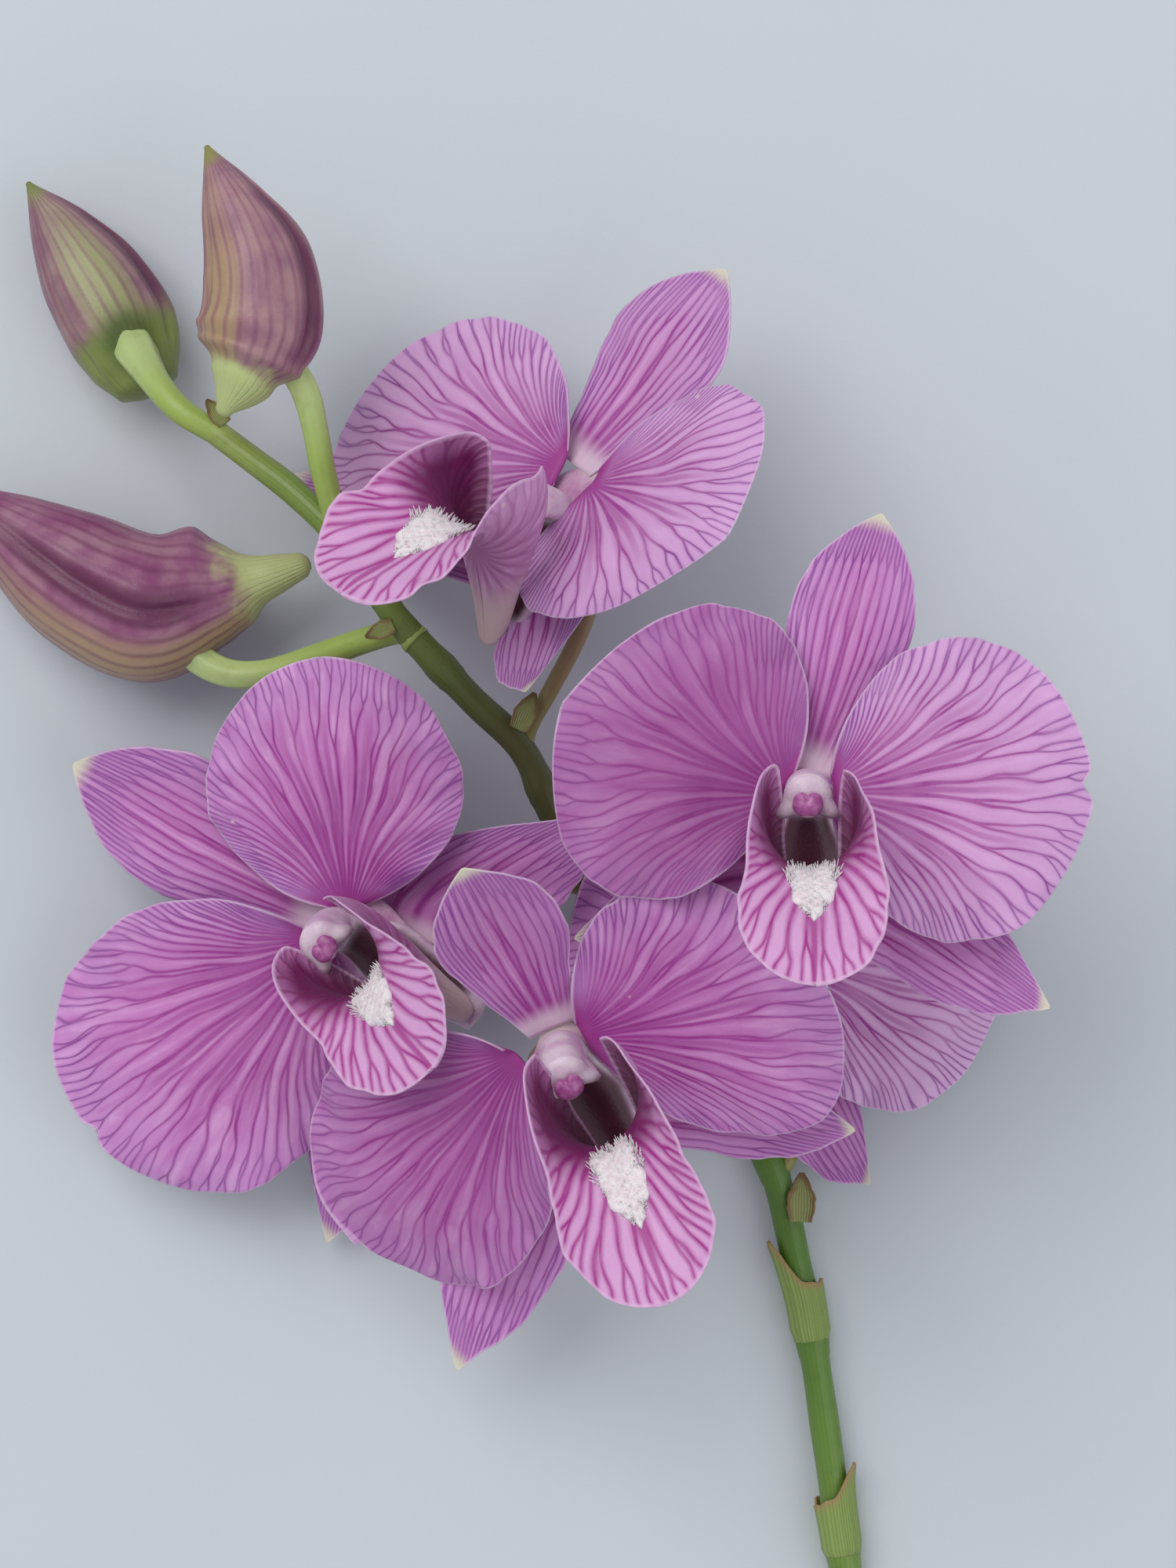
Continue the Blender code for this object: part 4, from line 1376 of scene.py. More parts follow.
def ball(rings: int, sides: int) -> tuple[np.ndarray, np.ndarray, np.ndarray]:
    """Lay out a ball with a radius of 1 in rings.

    Args:
        rings: how many rings, the first and last of them points.
        sides: points in a ring.

    Returns:
        X, Y and Z of its points, each rings by sides.
    """
    rise = np.linspace(0, math.pi, rings)[:, None]
    turn = around(sides)
    flat = np.sin(rise)
    return tuple(np.broadcast_arrays(flat * np.cos(turn), flat * np.sin(turn), np.cos(rise)))


@dataclass
class Column:
    """The fused style and stamens, with its foot below and its anther cap in front."""

    path: tuple[tuple[float, float], ...] = (
        (-19.4, -2.4), (-12.0, -2.8), (-5.0, -2.4), (0.2, -0.8), (1.0, 3.2), (0.1, 7.2),
    )
    radii: tuple[float, ...] = (1.4, 2.0, 2.5, 2.6, 2.5, 2.75)
    foot_breadth: float = 0.75  # how much broader than thick its foot is
    wing: float = 0.58  # how far a wing stands out, against the radius
    wing_angle: float = 124.0  # where it is, from the top
    wing_width: float = 17.0
    hollow: float = 0.45  # depth of the hollow below its tip, against the radius
    hollow_width: float = 38.0
    anther_size: Place = (1.7, 1.4, 0.8)
    anther_place: Place = (0.0, -0.5, 7.6)
    collar_size: Place = (5.0, 6.6, 1.3)
    collar_place: Place = (0.0, -3.4, -3.0)
    rings: int = 64
    sides: int = 48

    def body(self) -> tuple[np.ndarray, Marks]:
        """Shape the column.

        Returns:
            Its rings in the flower's own frame, and their marks: the share along it, and how
            much a point looks into the throat.
        """
        path, share, knots = smooth_path(tuple((0.0, y, z) for y, z in self.path), self.rings)
        radius = through(tuple(zip(knots, self.radii, strict=True)), share)
        right = np.array([1.0, 0.0, 0.0])
        top = np.cross(unit(np.gradient(path, axis=0)), right)
        top *= np.sign(top[-1, 1]) or 1.0
        turn = around(self.sides)
        off = np.abs(away(np.degrees(turn), 0.0))
        near_tip = ease(share, 0.74, 0.97)[:, None]
        size = 1 + self.wing * near_tip * bump(off, self.wing_angle, self.wing_width)
        size = size - self.hollow * near_tip * bump(off, 180.0, self.hollow_width)
        size = size * (radius * np.sqrt(np.clip(1 - ease(share, 0.97, 1.0), 0, 1)))[:, None]
        size[0] = size[-1] = 0.0
        broad = 1 + self.foot_breadth * (1 - ease(share, 0.45, 0.66))[:, None]
        rings = (
            path[:, None]
            + (size * broad * np.sin(turn))[..., None] * right
            + (size * np.cos(turn))[..., None] * top[:, None]
        )
        along = share[:, None] + 0.02 * bump(off, self.wing_angle, 20.0) * near_tip
        inward = ease(-np.cos(turn), 0.25, 0.7) * ease(along, 0.04, 0.14)
        return rings, {"place": mark(along, inward)}

    def anther(self) -> tuple[np.ndarray, Marks]:
        """Shape the anther cap, a helmet cleft in two.

        Returns:
            Its rings, and their marks: how near a point is to its lower edge.
        """
        x, y, z = ball(36, self.sides)
        cleft = 1 - 0.3 * bump(x, 0.0, 0.16) * ease(y, -0.2, 0.9)
        brow = 1 + 0.12 * bump(y, 0.75, 0.3) * (z > 0)
        cap = np.stack([x, y, z], axis=2) * (cleft * brow)[..., None]
        rings = cap * np.array(self.anther_size) + np.array(self.anther_place)
        return rings, {"place": mark(ease(-y, 0.55, 1.0))}

    def collar(self) -> tuple[np.ndarray, Marks]:
        """Shape the cushion that the sepals and petals spring from.

        Returns:
            Its rings, and their marks: how near a point is to its upper edge.
        """
        x, y, z = ball(24, self.sides)
        lobes = 1 + 0.06 * np.sin(5 * around(self.sides))
        cushion = np.stack([x * lobes, y * lobes, z], axis=2)
        rings = cushion * np.array(self.collar_size) + np.array(self.collar_place)
        return rings, {"place": mark(ease(y * lobes, 0.2, 1.0))}


@dataclass
class Callus:
    """The raised pad of white hairs on the disc of the lip."""

    start: float = 0.5  # share of the lip's length
    end: float = 0.755
    half_width: float = 0.31  # share of the lip's half width
    taper: float = 0.32  # how much narrower it is at its end than at its middle
    height: float = 0.8
    step: float = 0.25  # how high its edge stands
    top_rings: int = 22
    under_rings: int = 8
    sides: int = 48
    hairs: int = 1100
    hair_length: float = 0.3
    hair_radius: float = 0.12
    stray: float = 0.22  # how much hairs point their own way
    fringe: float = 2.8  # how much longer the hairs towards the throat are

    def _crown(self, out: np.ndarray) -> np.ndarray:
        """Height of the pad over its edge, at shares of the way out."""
        return self.height * np.sqrt(np.clip(1 - out**2, 0, 1))

    def _spots(self, out: np.ndarray, turn: np.ndarray) -> tuple[np.ndarray, np.ndarray]:
        """Find places on the lip under the pad.

        Args:
            out: shares of the way from the pad's middle to its edge.
            turn: directions from its middle, 0 towards the lip's tip.

        Returns:
            The share along the lip, and how far across it, of each.
        """
        t = (self.start + self.end) / 2 + (self.end - self.start) / 2 * out * np.cos(turn)
        return t, self.half_width * out * np.sin(turn)

    def pad(self, name: str, surface: np.ndarray, normal: np.ndarray, rows: np.ndarray) -> Piece:
        """Build the pad.

        Args:
            name: what it is called after.
            surface: the lip's middle surface in the layout.
            normal: the way it faces at each point.
            rows: the share of the lip's length at each row.

        Returns:
            The piece.
        """
        top, under = np.linspace(0, 1, self.top_rings), np.linspace(0.94, 0, self.under_rings)
        out = np.concatenate([top, under])
        above = (np.arange(len(out)) < self.top_rings)[:, None]
        out, turn = out[:, None], around(self.sides)
        jag = 1 + 0.08 * np.sin(5 * turn + 1.0) + 0.06 * np.sin(11 * turn + 2.0)
        t, a = self._spots(out * jag, turn)
        a = a * (1 - self.taper * np.cos(turn) * out)
        lumps = 0.12 * np.sin(t * 210) * np.sin(a * 34) * (out < 0.98)
        lift = np.where(above, self.step + self._crown(out) + lumps, -0.05)
        rings = read_grid(surface, rows, t, a) + lift[..., None] * read_grid(normal, rows, t, a)
        return new_body(f"{name}_callus", rings, {"place": np.zeros(rings.shape)})

    def fur(
        self, name: str, surface: np.ndarray, normal: np.ndarray, rows: np.ndarray, seed: int
    ) -> Piece:
        """Build the hairs.

        Args:
            name: what they are called after.
            surface: the lip's middle surface in the layout.
            normal: the way it faces at each point.
            rows: the share of the lip's length at each row.
            seed: for where they grow and which way they point.

        Returns:
            The piece.
        """
        chance = np.random.default_rng(seed)
        out = np.sqrt(chance.uniform(0, 1.06, self.hairs))
        turn = chance.uniform(0, 2 * math.pi, self.hairs)
        t, a = self._spots(out, turn)
        a = a * (1 - self.taper * np.cos(turn) * out)
        up = read_grid(normal, rows, t, a)
        root = read_grid(surface, rows, t, a) + self._crown(out)[:, None] * up
        middle = np.full(1, (self.start + self.end) / 2)
        outward = unit(root - read_grid(surface, rows, middle, np.zeros(1)))
        lean = (0.15 + 1.1 * out**3 * (0.5 - 0.5 * np.cos(turn)))[:, None]
        axis = unit(up + lean * outward + chance.normal(0, self.stray, (self.hairs, 3)))
        one = unit(np.cross(axis, (0.31, 0.22, 0.92)))
        two = np.cross(axis, one)
        fringe = 1 + self.fringe * (np.cos(turn) < -0.2) * ease(out, 0.75, 1.0)
        tall = (self.hair_length * fringe * chance.uniform(0.5, 1.15, self.hairs))[:, None]
        thick = (self.hair_radius * chance.uniform(0.75, 1.2, self.hairs))[:, None]
        places = np.stack([one * thick, two * thick, axis * tall, root], axis=1)
        bpy.ops.object.select_all(action="DESELECT")
        bpy.ops.mesh.primitive_cone_add(
            vertices=5, radius1=1.0, radius2=0.35, depth=1.0, location=(0, 0, 0.5)
        )
        model = bpy.context.object
        bpy.ops.object.transform_apply(location=True, rotation=False, scale=False)
        return copied(f"{name}_callus_hairs", model, places)

    def build(
        self, name: str, surface: np.ndarray, rows: np.ndarray, seed: int
    ) -> tuple[Piece, Piece]:
        """Build the pad and its hairs on a lip.

        Args:
            name: what the pieces are called after.
            surface: the lip's middle surface in the layout.
            rows: the share of the lip's length at each row.
            seed: for the hairs.

        Returns:
            The pad and the hairs.
        """
        normal = unit(np.cross(np.gradient(surface, axis=0), np.gradient(surface, axis=1)))
        pad = self.pad(name, surface, normal, rows)
        return pad, self.fur(name, surface, normal, rows, seed)


@dataclass
class Flower:
    """One open flower: where it is, which way it faces, and how its organs stand."""

    number: int
    centre: Place
    facing: tuple[float, float]
    up: float
    dorsal_sepal: Stance
    lateral_sepal_right: Stance
    lateral_sepal_left: Stance
    petal_right: Stance
    petal_left: Stance
    lip: Stance
    column_size: float = 1.0

    def place(self, points: np.ndarray) -> np.ndarray:
        """Move points to where the flower is.

        Args:
            points: in the flower's own frame.

        Returns:
            The points in the layout.
        """
        front = Vector((*self.facing, math.sqrt(1 - self.facing[0] ** 2 - self.facing[1] ** 2)))
        top = Vector((math.cos(math.radians(self.up)), math.sin(math.radians(self.up)), 0.0))
        top = (top - top.dot(front) * front).normalized()
        axes = np.array([top.cross(front), top, front])
        return points @ axes + np.array(self.centre)

    def build(self, finishes: dict[str, Material]) -> None:
        """Build and dress all organs of the flower.

        Args:
            finishes: materials by name.
        """
        name = f"flower_{self.number}"
        petal = (finishes["petal_front"], finishes["petal_back"])
        sepal = (finishes["sepal_front"], finishes["sepal_back"])
        organs = {
            "dorsal_sepal": (DORSAL_SEPAL, self.dorsal_sepal, Hand.RIGHT, sepal),
            "lateral_sepal_right": (LATERAL_SEPAL, self.lateral_sepal_right, Hand.RIGHT, sepal),
            "lateral_sepal_left": (LATERAL_SEPAL, self.lateral_sepal_left, Hand.LEFT, sepal),
            "petal_right": (PETAL, self.petal_right, Hand.RIGHT, petal),
            "petal_left": (PETAL, self.petal_left, Hand.LEFT, petal),
        }
        for index, (organ, (blade, stance, hand, pair)) in enumerate(organs.items()):
            node = f"{name}_{organ}"
            shaped = replace(blade, ruffle=blade.ruffle * stance.ruffle, notch=stance.notch)
            form = BladeForm(shaped, seed=10 * self.number + index)
            points = self.place(stance.set(form.points, hand))
            piece = new_blade(node, form, points, hand is Hand.LEFT, pair, stance.tone)
            hand_over(piece, node, Slot.PETALS)
        self._build_lip(name, finishes)
        self._build_column(name, finishes)

    def _build_lip(self, name: str, finishes: dict[str, Material]) -> None:
        """Build the lip and its callus.

        Args:
            name: what the pieces are called after.
            finishes: materials by name.
        """
        node = f"{name}_lip"
        form = BladeForm(LIP, seed=10 * self.number + 7)
        surface = self.place(self.lip.set(form.points, Hand.RIGHT))
        pair = (finishes["lip_inside"], finishes["lip_outside"])
        hand_over(new_blade(node, form, surface, False, pair, self.lip.tone), node, Slot.LIPS)
        for part in Callus().build(name, surface, form.along[:, 0], seed=self.number):
            hand_over(part, node, Slot.LIPS, finishes["callus"])

    def _build_column(self, name: str, finishes: dict[str, Material]) -> None:
        """Build the column, the collar round its foot and the anther cap on its tip.

        Args:
            name: what the pieces are called after.
            finishes: materials by name.
        """
        column = Column()
        foot = np.array((0.0, *column.path[0]))
        for organ, node, slot, size, (rings, marks) in (
            ("column", "column", Slot.COLUMNS, self.column_size, column.body()),
            ("collar", "column", Slot.COLUMNS, 1.0, column.collar()),
            ("anther_cap", "anther_cap", Slot.ANTHER_CAPS, self.column_size, column.anther()),
        ):
            rings = self.place(foot + size * (rings - foot))
            piece = new_body(f"{name}_{organ}", rings, marks)
            hand_over(piece, f"{name}_{node}", slot, finishes[organ])


# How much deeper or paler each blade is in its stance is partly its own colour and partly painted
# light and shade.
FLOWERS = (
    Flower(  # the topmost, turned to the left
        number=1,
        centre=(-2.3, 40.0, 4.0),
        facing=(-0.62, 0.28),
        up=57.0,
        dorsal_sepal=Stance((-2.6, 1.8, -2.4), 84, -5, 0, 0.93, 1.25, tone=-0.3),
        lateral_sepal_right=Stance((-0.9, -12.2, -4.9), -5, -9, -36, 0.42, 0.96, tone=-0.4),
        lateral_sepal_left=Stance(mirrored(LATERAL_BASE), 170, 14, 0, 1.3),
        petal_right=Stance(PETAL_BASE, 6, 2, -8, 0.78, 0.95, 0.0, 0.5, tone=-0.6, trail=0.6),
        petal_left=Stance(mirrored(PETAL_BASE), 197, 8, 0, 1.12, 0.97, 0.2, 0.6, tone=-0.6),
        lip=Stance((0.6, -21.4, -0.5), -87, -2, -6, 0.95, 1.14, tone=-0.3, depth=1.27),
        column_size=0.78,
    ),
    Flower(  # the one on the right, facing straight out
        number=2,
        centre=(24.4, 2.8, 25.5),
        facing=(-0.05, 0.0),
        up=90.0,
        dorsal_sepal=Stance(DORSAL_BASE, 74, 0, 0, 0.97, 0.94),
        lateral_sepal_right=Stance(LATERAL_BASE, -2, 0, 0, 0.89),
        lateral_sepal_left=Stance((-3.1, -9.6, -6.9), 163, -14, 0, 0.78),
        petal_right=Stance(
            PETAL_BASE, 1, 0, 0, 0.97, 0.97, 0.12, notch=1.4, tone=-0.55, trail=0.25
        ),
        petal_left=Stance(mirrored(PETAL_BASE), 158, 4, 0, 0.88, 1.0, 0.25, tone=0.5, trail=0.35),
        lip=Stance((0.7, -18.4, -0.2), -89, 0, 0, 0.96, 0.93),
    ),
    Flower(  # the one on the left, facing a little down and to the left
        number=3,
        centre=(-29.4, -12.9, -4.5),
        facing=(-0.22, -0.20),
        up=149.0,
        dorsal_sepal=Stance((0.4, 2.8, -2.4), 93, 0, 0, 1.15, 1.18),
        lateral_sepal_right=Stance(LATERAL_BASE, 16, 7, 0, 0.77, 1.15),
        lateral_sepal_left=Stance(mirrored(LATERAL_BASE), 171, 0, 0, 1.18),
        petal_right=Stance(PETAL_BASE, 36, 0, 0, 1.0, 0.98, taper=0.3),
        petal_left=Stance(mirrored(PETAL_BASE), 161, 6, 0, 1.26, 1.06, notch=0.8, taper=0.1),
        lip=Stance(LIP_BASE, -94, 0, 0, 0.96),
    ),
    Flower(  # the lowest in front, looking down the stem
        number=4,
        centre=(-2.6, -26.4, 17.0),
        facing=(0.04, -0.32),
        up=117.0,
        dorsal_sepal=Stance(DORSAL_BASE, 86, 22, 0, 0.86, tone=0.2),
        lateral_sepal_right=Stance(LATERAL_BASE, -8, 4, 0, 0.85),
        lateral_sepal_left=Stance((-4.4, -9.0, -4.9), 197, -6, 0, 1.2, 1.15),
        petal_right=Stance(PETAL_BASE, -15, 3, 0, 0.94, 0.95, 0.25, tone=0.12),
        petal_left=Stance((-4.8, 1.8, -1.8), 208, -17, 16, 1.16, 0.9, 0.1, ruffle=1.6, tone=0.32),
        lip=Stance((0.7, -20.4, -0.2), -94, 0, 0, 1.12, 0.97),
    ),
    Flower(  # behind the two before it, on the right
        number=5,
        centre=(21.6, -17.0, -14.0),
        facing=(0.04, 0.02),
        up=75.0,
        dorsal_sepal=Stance(DORSAL_BASE, 88, -10),
        lateral_sepal_right=Stance(LATERAL_BASE, -1, 4, 0, 0.6),
        lateral_sepal_left=Stance(mirrored(LATERAL_BASE), 180, 30, 0, 0.7),
        # Painted light: this petal is made paler because it lies low, in the shade of the flowers
        # above.
        petal_right=Stance(PETAL_BASE, 2, -4, 0, 0.87, 0.9, tone=-0.85, taper=0.1),
        petal_left=Stance(mirrored(PETAL_BASE), 182, 14, 0, 0.74, 0.9),
        lip=Stance(LIP_BASE, -90, 0, 0, 0.68, 0.9),
    ),
)


# ---------------------------------------------------------------- stems and buds


@dataclass
class Tube:
    """A round body along a smooth curve, with its radius at each given point."""

    points: tuple[Place, ...]
    radii: tuple[float, ...]
    spacing: float = 0.6  # millimetres between rings
    sides: int = 32

    def course(self) -> tuple[np.ndarray, np.ndarray, np.ndarray, float]:
        """Follow the tube.

        Returns:
            Points down its middle, their shares of its length, its radii there, and its length.
        """
        length = np.linalg.norm(np.diff(np.array(self.points), axis=0), axis=1).sum()
        path, share, knots = smooth_path(self.points, max(12, round(length / self.spacing)))
        return path, share, through(tuple(zip(knots, self.radii, strict=True)), share), length

    def rings(
        self, path: np.ndarray, size: np.ndarray, share: np.ndarray
    ) -> tuple[np.ndarray, Marks]:
        """Lay rings round a path.

        Args:
            path: the middle of each ring.
            size: rings by sides, the distance of each point from the middle.
            share: share of the length of each ring.

        Returns:
            The rings, and their marks: share along, and the angle's cosine and sine.
        """
        ahead = unit(np.gradient(path, axis=0))
        front = unit(np.array([0.0, 0.0, 1.0]) - ahead * ahead[:, 2:])
        side = np.cross(ahead, front)
        turn = around(self.sides)
        rings = (
            path[:, None]
            + (size * np.cos(turn))[..., None] * front[:, None]
            + (size * np.sin(turn))[..., None] * side[:, None]
        )
        return rings, {"place": mark(share[:, None], np.cos(turn), np.sin(turn))}


def capped(
    path: np.ndarray, size: np.ndarray, share: np.ndarray, dome: float, near_dome: float = 0.0
) -> tuple[np.ndarray, np.ndarray, np.ndarray]:
    """Add end rings that close a tube, rounded over at its far end.

    Args:
        path: the middle of each ring.
        size: rings by sides.
        share: shares of the length.
        dome: height of the far end's dome against its radius.
        near_dome: the same at the near end, 0 for a flat one.

    Returns:
        The path, sizes and shares with three near rings and four far ones added.
    """
    back, ahead = unit(path[0] - path[1]), unit(path[-1] - path[-2])
    near = np.array(DOMED_END if near_dome else FLAT_END)[:, None]
    far = np.array(FAR_END)[:, None]
    gaps = np.arange(len(near), 0, -1)[:, None] * HAIR_GAP
    low = np.sqrt(1 - near**2) * near_dome * size[0].mean() + gaps
    high = np.sqrt(1 - far**2) * dome * size[-1].mean()
    path = np.concatenate([path[0] + low * back, path, path[-1] + high * ahead])
    size = np.concatenate([near * size[0], size, far * size[-1]])
    share = np.pad(share, (len(near), len(far)), mode="edge")
    return path, size, share


@dataclass
class MainStem:
    """The stem from its cut end to the last bud."""

    tube: Tube
    joints: tuple[float, ...]  # shares of the length where a flower or sheath springs
    swelling: float = 0.16
    joint_width: float = 1.7

    def build(self, skin: Material, cut: Material) -> None:
        """Build the stem with its swollen joints and its cut end.

        Args:
            skin: the finish of its side.
            cut: the finish of its cut end.
        """
        path, share, radius, length = self.tube.course()
        turn = around(self.tube.sides)
        grown = np.ones_like(share)
        for joint in self.joints:
            past = (share - joint) * length
            painted_crease_shade = 0.35 * bump(past, -1.6, 0.35)
            grown += self.swelling * (bump(past, 0.0, self.joint_width) + painted_crease_shade)
        wobble = 0.02 * np.sin(share * length * 0.5)[:, None] * np.cos(2 * turn)
        size = (radius * grown)[:, None] * (1 + wobble + 0.012 * np.cos(9 * turn))
        path, size, share = capped(path, size, share, 0.8)
        rings, marks = self.tube.rings(path, size, share)
        out = np.full(rings.shape, PAST_CUT)
        out[: len(FLAT_END) + 1, :, 0] = np.array([*FLAT_END, 1.0])[:, None]
        piece = new_body("main_stem", rings, {**marks, "cut": out})
        hand_over(piece, "main_stem", Slot.STEM, skin, cut)
        layer = piece.data.attributes["cut"].data
        for face in piece.data.polygons:
            face.material_index = int(max(layer[v].vector[0] for v in face.vertices) <= 1.0)


@dataclass
class Pedicel:
    """A flower's or bud's own stalk, a little ribbed, widening towards its far end."""

    name: str
    tube: Tube
    foot: float = 1.25  # how much it widens where it leaves the stem
    foot_length: float = 1.6
    ribs: int = 6
    rib_height: float = 0.05
    slant: int = 3  # how many steps further down the stem it is rooted

    def build(self, skin: Material, stem: np.ndarray) -> None:
        """Build the stalk, rooted in the middle of the stem a little below its first point.

        Args:
            skin: its finish.
            stem: points down the middle of the stem.
        """
        apart = np.linalg.norm(stem - np.array(self.tube.points[0]), axis=1)
        root = tuple(stem[max(0, int(apart.argmin()) - self.slant)])
        points, radii = (root, *self.tube.points), (self.tube.radii[0], *self.tube.radii)
        tube = replace(self.tube, points=points, radii=radii)
        path, share, radius, length = tube.course()
        radius = radius * (1 + (self.foot - 1) * bump(share * length, 0.0, self.foot_length))
        ribs = np.cos(self.ribs * around(tube.sides)) * ease(share, 0.3, 0.8)[:, None]
        size = radius[:, None] * (1 + self.rib_height * ribs)
        path, size, share = capped(path, size, share, 0.5)
        piece = new_body(self.name, *tube.rings(path, size, share))
        hand_over(piece, self.name, Slot.PEDICELS, skin)


@dataclass
class Bud:
    """A closed bud: three sepals folded edge to edge, drawn out to a spur at the base."""

    name: str
    tube: Tube
    seams: tuple[float, ...]  # degrees round the bud where two sepals meet
    spur_until: float  # share of the length
    collar: float = 0.0  # how far the sepals stand over the spur
    socket: Place | None = None  # where its stalk enters from the side
    blunt: float = 0.9  # how far its near end is rounded out, against its radius there
    hump: Place = (0.0, 0.0, 0.0)  # share of the length, degrees round it, and height

    def _swelling(self, t: np.ndarray, degrees: np.ndarray) -> np.ndarray:
        """Shape the bud's skin.

        Args:
            t: shares of the length, as a column.
            degrees: angles round the bud, as a row.

        Returns:
            How far out the skin is, against the bud's radius.
        """
        body = ease(t, self.spur_until * 0.8, self.spur_until + 0.14) * ease(t, 1.0, 0.86)
        size = 1 + 0.006 * body * np.cos(np.radians(degrees) * 26)
        for seam in self.seams:
            off = away(degrees, seam + 18 * (t - 0.4))
            furrow = -0.075 * bump(off, 0.0, 5.5)
            shoulders = 0.035 * bump(off, 16.0, 12.0) - 0.03 * bump(off, -20.0, 22.0)
            size = size + body * (furrow + shoulders)
        step = bump(t, self.spur_until, 0.02) - bump(t, self.spur_until - 0.05, 0.03)
        place, angle, height = self.hump
        hump = height * bump(t, place, 0.09) * bump(away(degrees, angle), 0.0, 42.0)
        return size + self.collar * step + hump

    def _drawn_in(self, rings: np.ndarray, path: np.ndarray) -> tuple[np.ndarray, np.ndarray]:
        """Draw the bud in round its stalk, where that enters from the side.

        Args:
            rings: the bud.
            path: the middle of each ring.

        Returns:
            The rings, and how far into the hollow each point is.
        """
        if self.socket is None:
            return rings, np.zeros(rings.shape[:2])
        hollow = bump(np.linalg.norm(rings - np.array(self.socket), axis=2), 0.0, SOCKET_WIDTH)
        return rings + SOCKET_DEPTH * hollow[..., None] * unit(path[:, None] - rings), hollow

    def build(self, skin: Material) -> None:
        """Build the bud.

        Args:
            skin: its finish.
        """
        path, share, radius, _ = self.tube.course()
        size = self._swelling(share[:, None], np.degrees(around(self.tube.sides)))
        path, size, share = capped(path, radius[:, None] * size, share, 1.0, self.blunt)
        rings, marks = self.tube.rings(path, size, share)
        rings, hollow = self._drawn_in(rings, path)
        piece = new_body(self.name, rings, {**marks, "hollow": mark(hollow)})
        hand_over(piece, self.name, Slot.BUDS, skin)


@dataclass
class Sheath:
    """A papery sleeve round the main stem with a slanting mouth drawn out to a tip."""

    name: str
    start: float  # share of the stem's length
    length: float
    point: float  # how much longer it is at its tip
    turn: float  # degrees round the stem where that is
    slack: float = 0.45
    thickness: float = 0.28
    rows: int = 28
    columns: int = 64

    def build(self, stem: Tube, skin: Material) -> None:
        """Build the sleeve round the stem.

        Args:
            stem: what it is wrapped round.
            skin: its finish.
        """
        path, share, radius, length = stem.course()
        up = np.linspace(0, 1, self.rows + 1)[:, None]
        turn = np.linspace(0, 2 * math.pi, self.columns + 1)[None, :]
        off = away(np.degrees(turn), self.turn)
        reach = self.length + self.point * bump(off, 0.0, 50.0) - 0.8 * bump(off, 180.0, 60.0)
        reach = reach + 0.12 * np.sin(7 * turn)
        run = self.start + up * reach / length
        place = read_path(path, share, run)
        ahead = unit(read_path(path, share, run + share[1]) - place)
        side = unit(np.cross(ahead, (0.0, 0.0, 1.0)))
        front = np.cross(side, ahead)
        flare = 0.25 * up**3 + 0.5 * up**6 * bump(off, 0.0, 40.0) - 0.3 * (1 - ease(up, 0.0, 0.15))
        out = np.interp(run, share, radius) * 1.02 + self.slack + flare + 0.05 * np.cos(12 * turn)
        round_it = np.cos(turn)[..., None] * side + np.sin(turn)[..., None] * front
        marks = {"place": mark(up, (1 - up) * reach, 2 * np.sin(turn / 2))}
        piece = new_sheet(self.name, place + out[..., None] * round_it, marks)
        close_seams()
        thicken(piece, self.thickness)
        hand_over(piece, self.name, Slot.SHEATHS, skin)


FLORAL_BRACT = Blade(
    length=6.0,
    half_width=((0, 1.5), (0.4, 1.9), (0.8, 1.0), (1, 0.3)),
    cup=((0, 50), (1, 20)),
    arch=((0, 0), (1, -8)),
    fan=Fan(count=9.0, follow=0.6),
    thickness=0.3,
    groove=0.05,
    frill=0.04,
    rows=28,
    columns=24,
)


@dataclass
class Bract:
    """A small scale at the foot of a pedicel."""

    name: str
    base: Place
    direction: float
    size: float = 1.0

    def build(self, skin: Material, seed: int) -> None:
        """Build the scale.

        Args:
            skin: its finish.
            seed: for the waves of its outline.
        """
        form = BladeForm(FLORAL_BRACT, seed)
        points = self.size * form.points @ turned(self.direction, 0, 0).T + np.array(self.base)
        piece = new_blade(self.name, form, points, False, (skin, skin))
        hand_over(piece, self.name, Slot.BRACTS)


MAIN_TUBE = Tube(
    points=(
        (32.2, -95.7, -21.6), (30.8, -86.5, -21.6), (27.6, -64.4, -21.4), (25.8, -55.2, -21.2),
        (21.6, -40.5, -20.5), (12.0, -32.0, -20.0), (4.6, -23.0, -18.5), (1.2, -12.0, -15.5),
        (0.0, -5.5, -12.5), (-3.7, 0.0, -8.5), (-7.8, 8.7, -4.8), (-13.8, 14.7, -2.5),
        (-21.6, 23.0, -1.2), (-24.0, 26.2, -1.0), (-29.0, 33.4, -1.8), (-34.6, 39.0, -3.2),
        (-39.6, 42.9, -4.4), (-44.0, 46.2, -5.0),
    ),
    radii=(1.9, 1.85, 1.8, 1.8, 1.75, 1.7, 1.7, 1.7, 1.7, 1.7, 1.7, 1.7, 1.7, 1.65, 1.65, 1.6, 1.6,
           1.5),
)
MAIN_STEM = MainStem(MAIN_TUBE, joints=(0.035, 0.19, 0.32, 0.49, 0.58, 0.66, 0.77, 0.87))
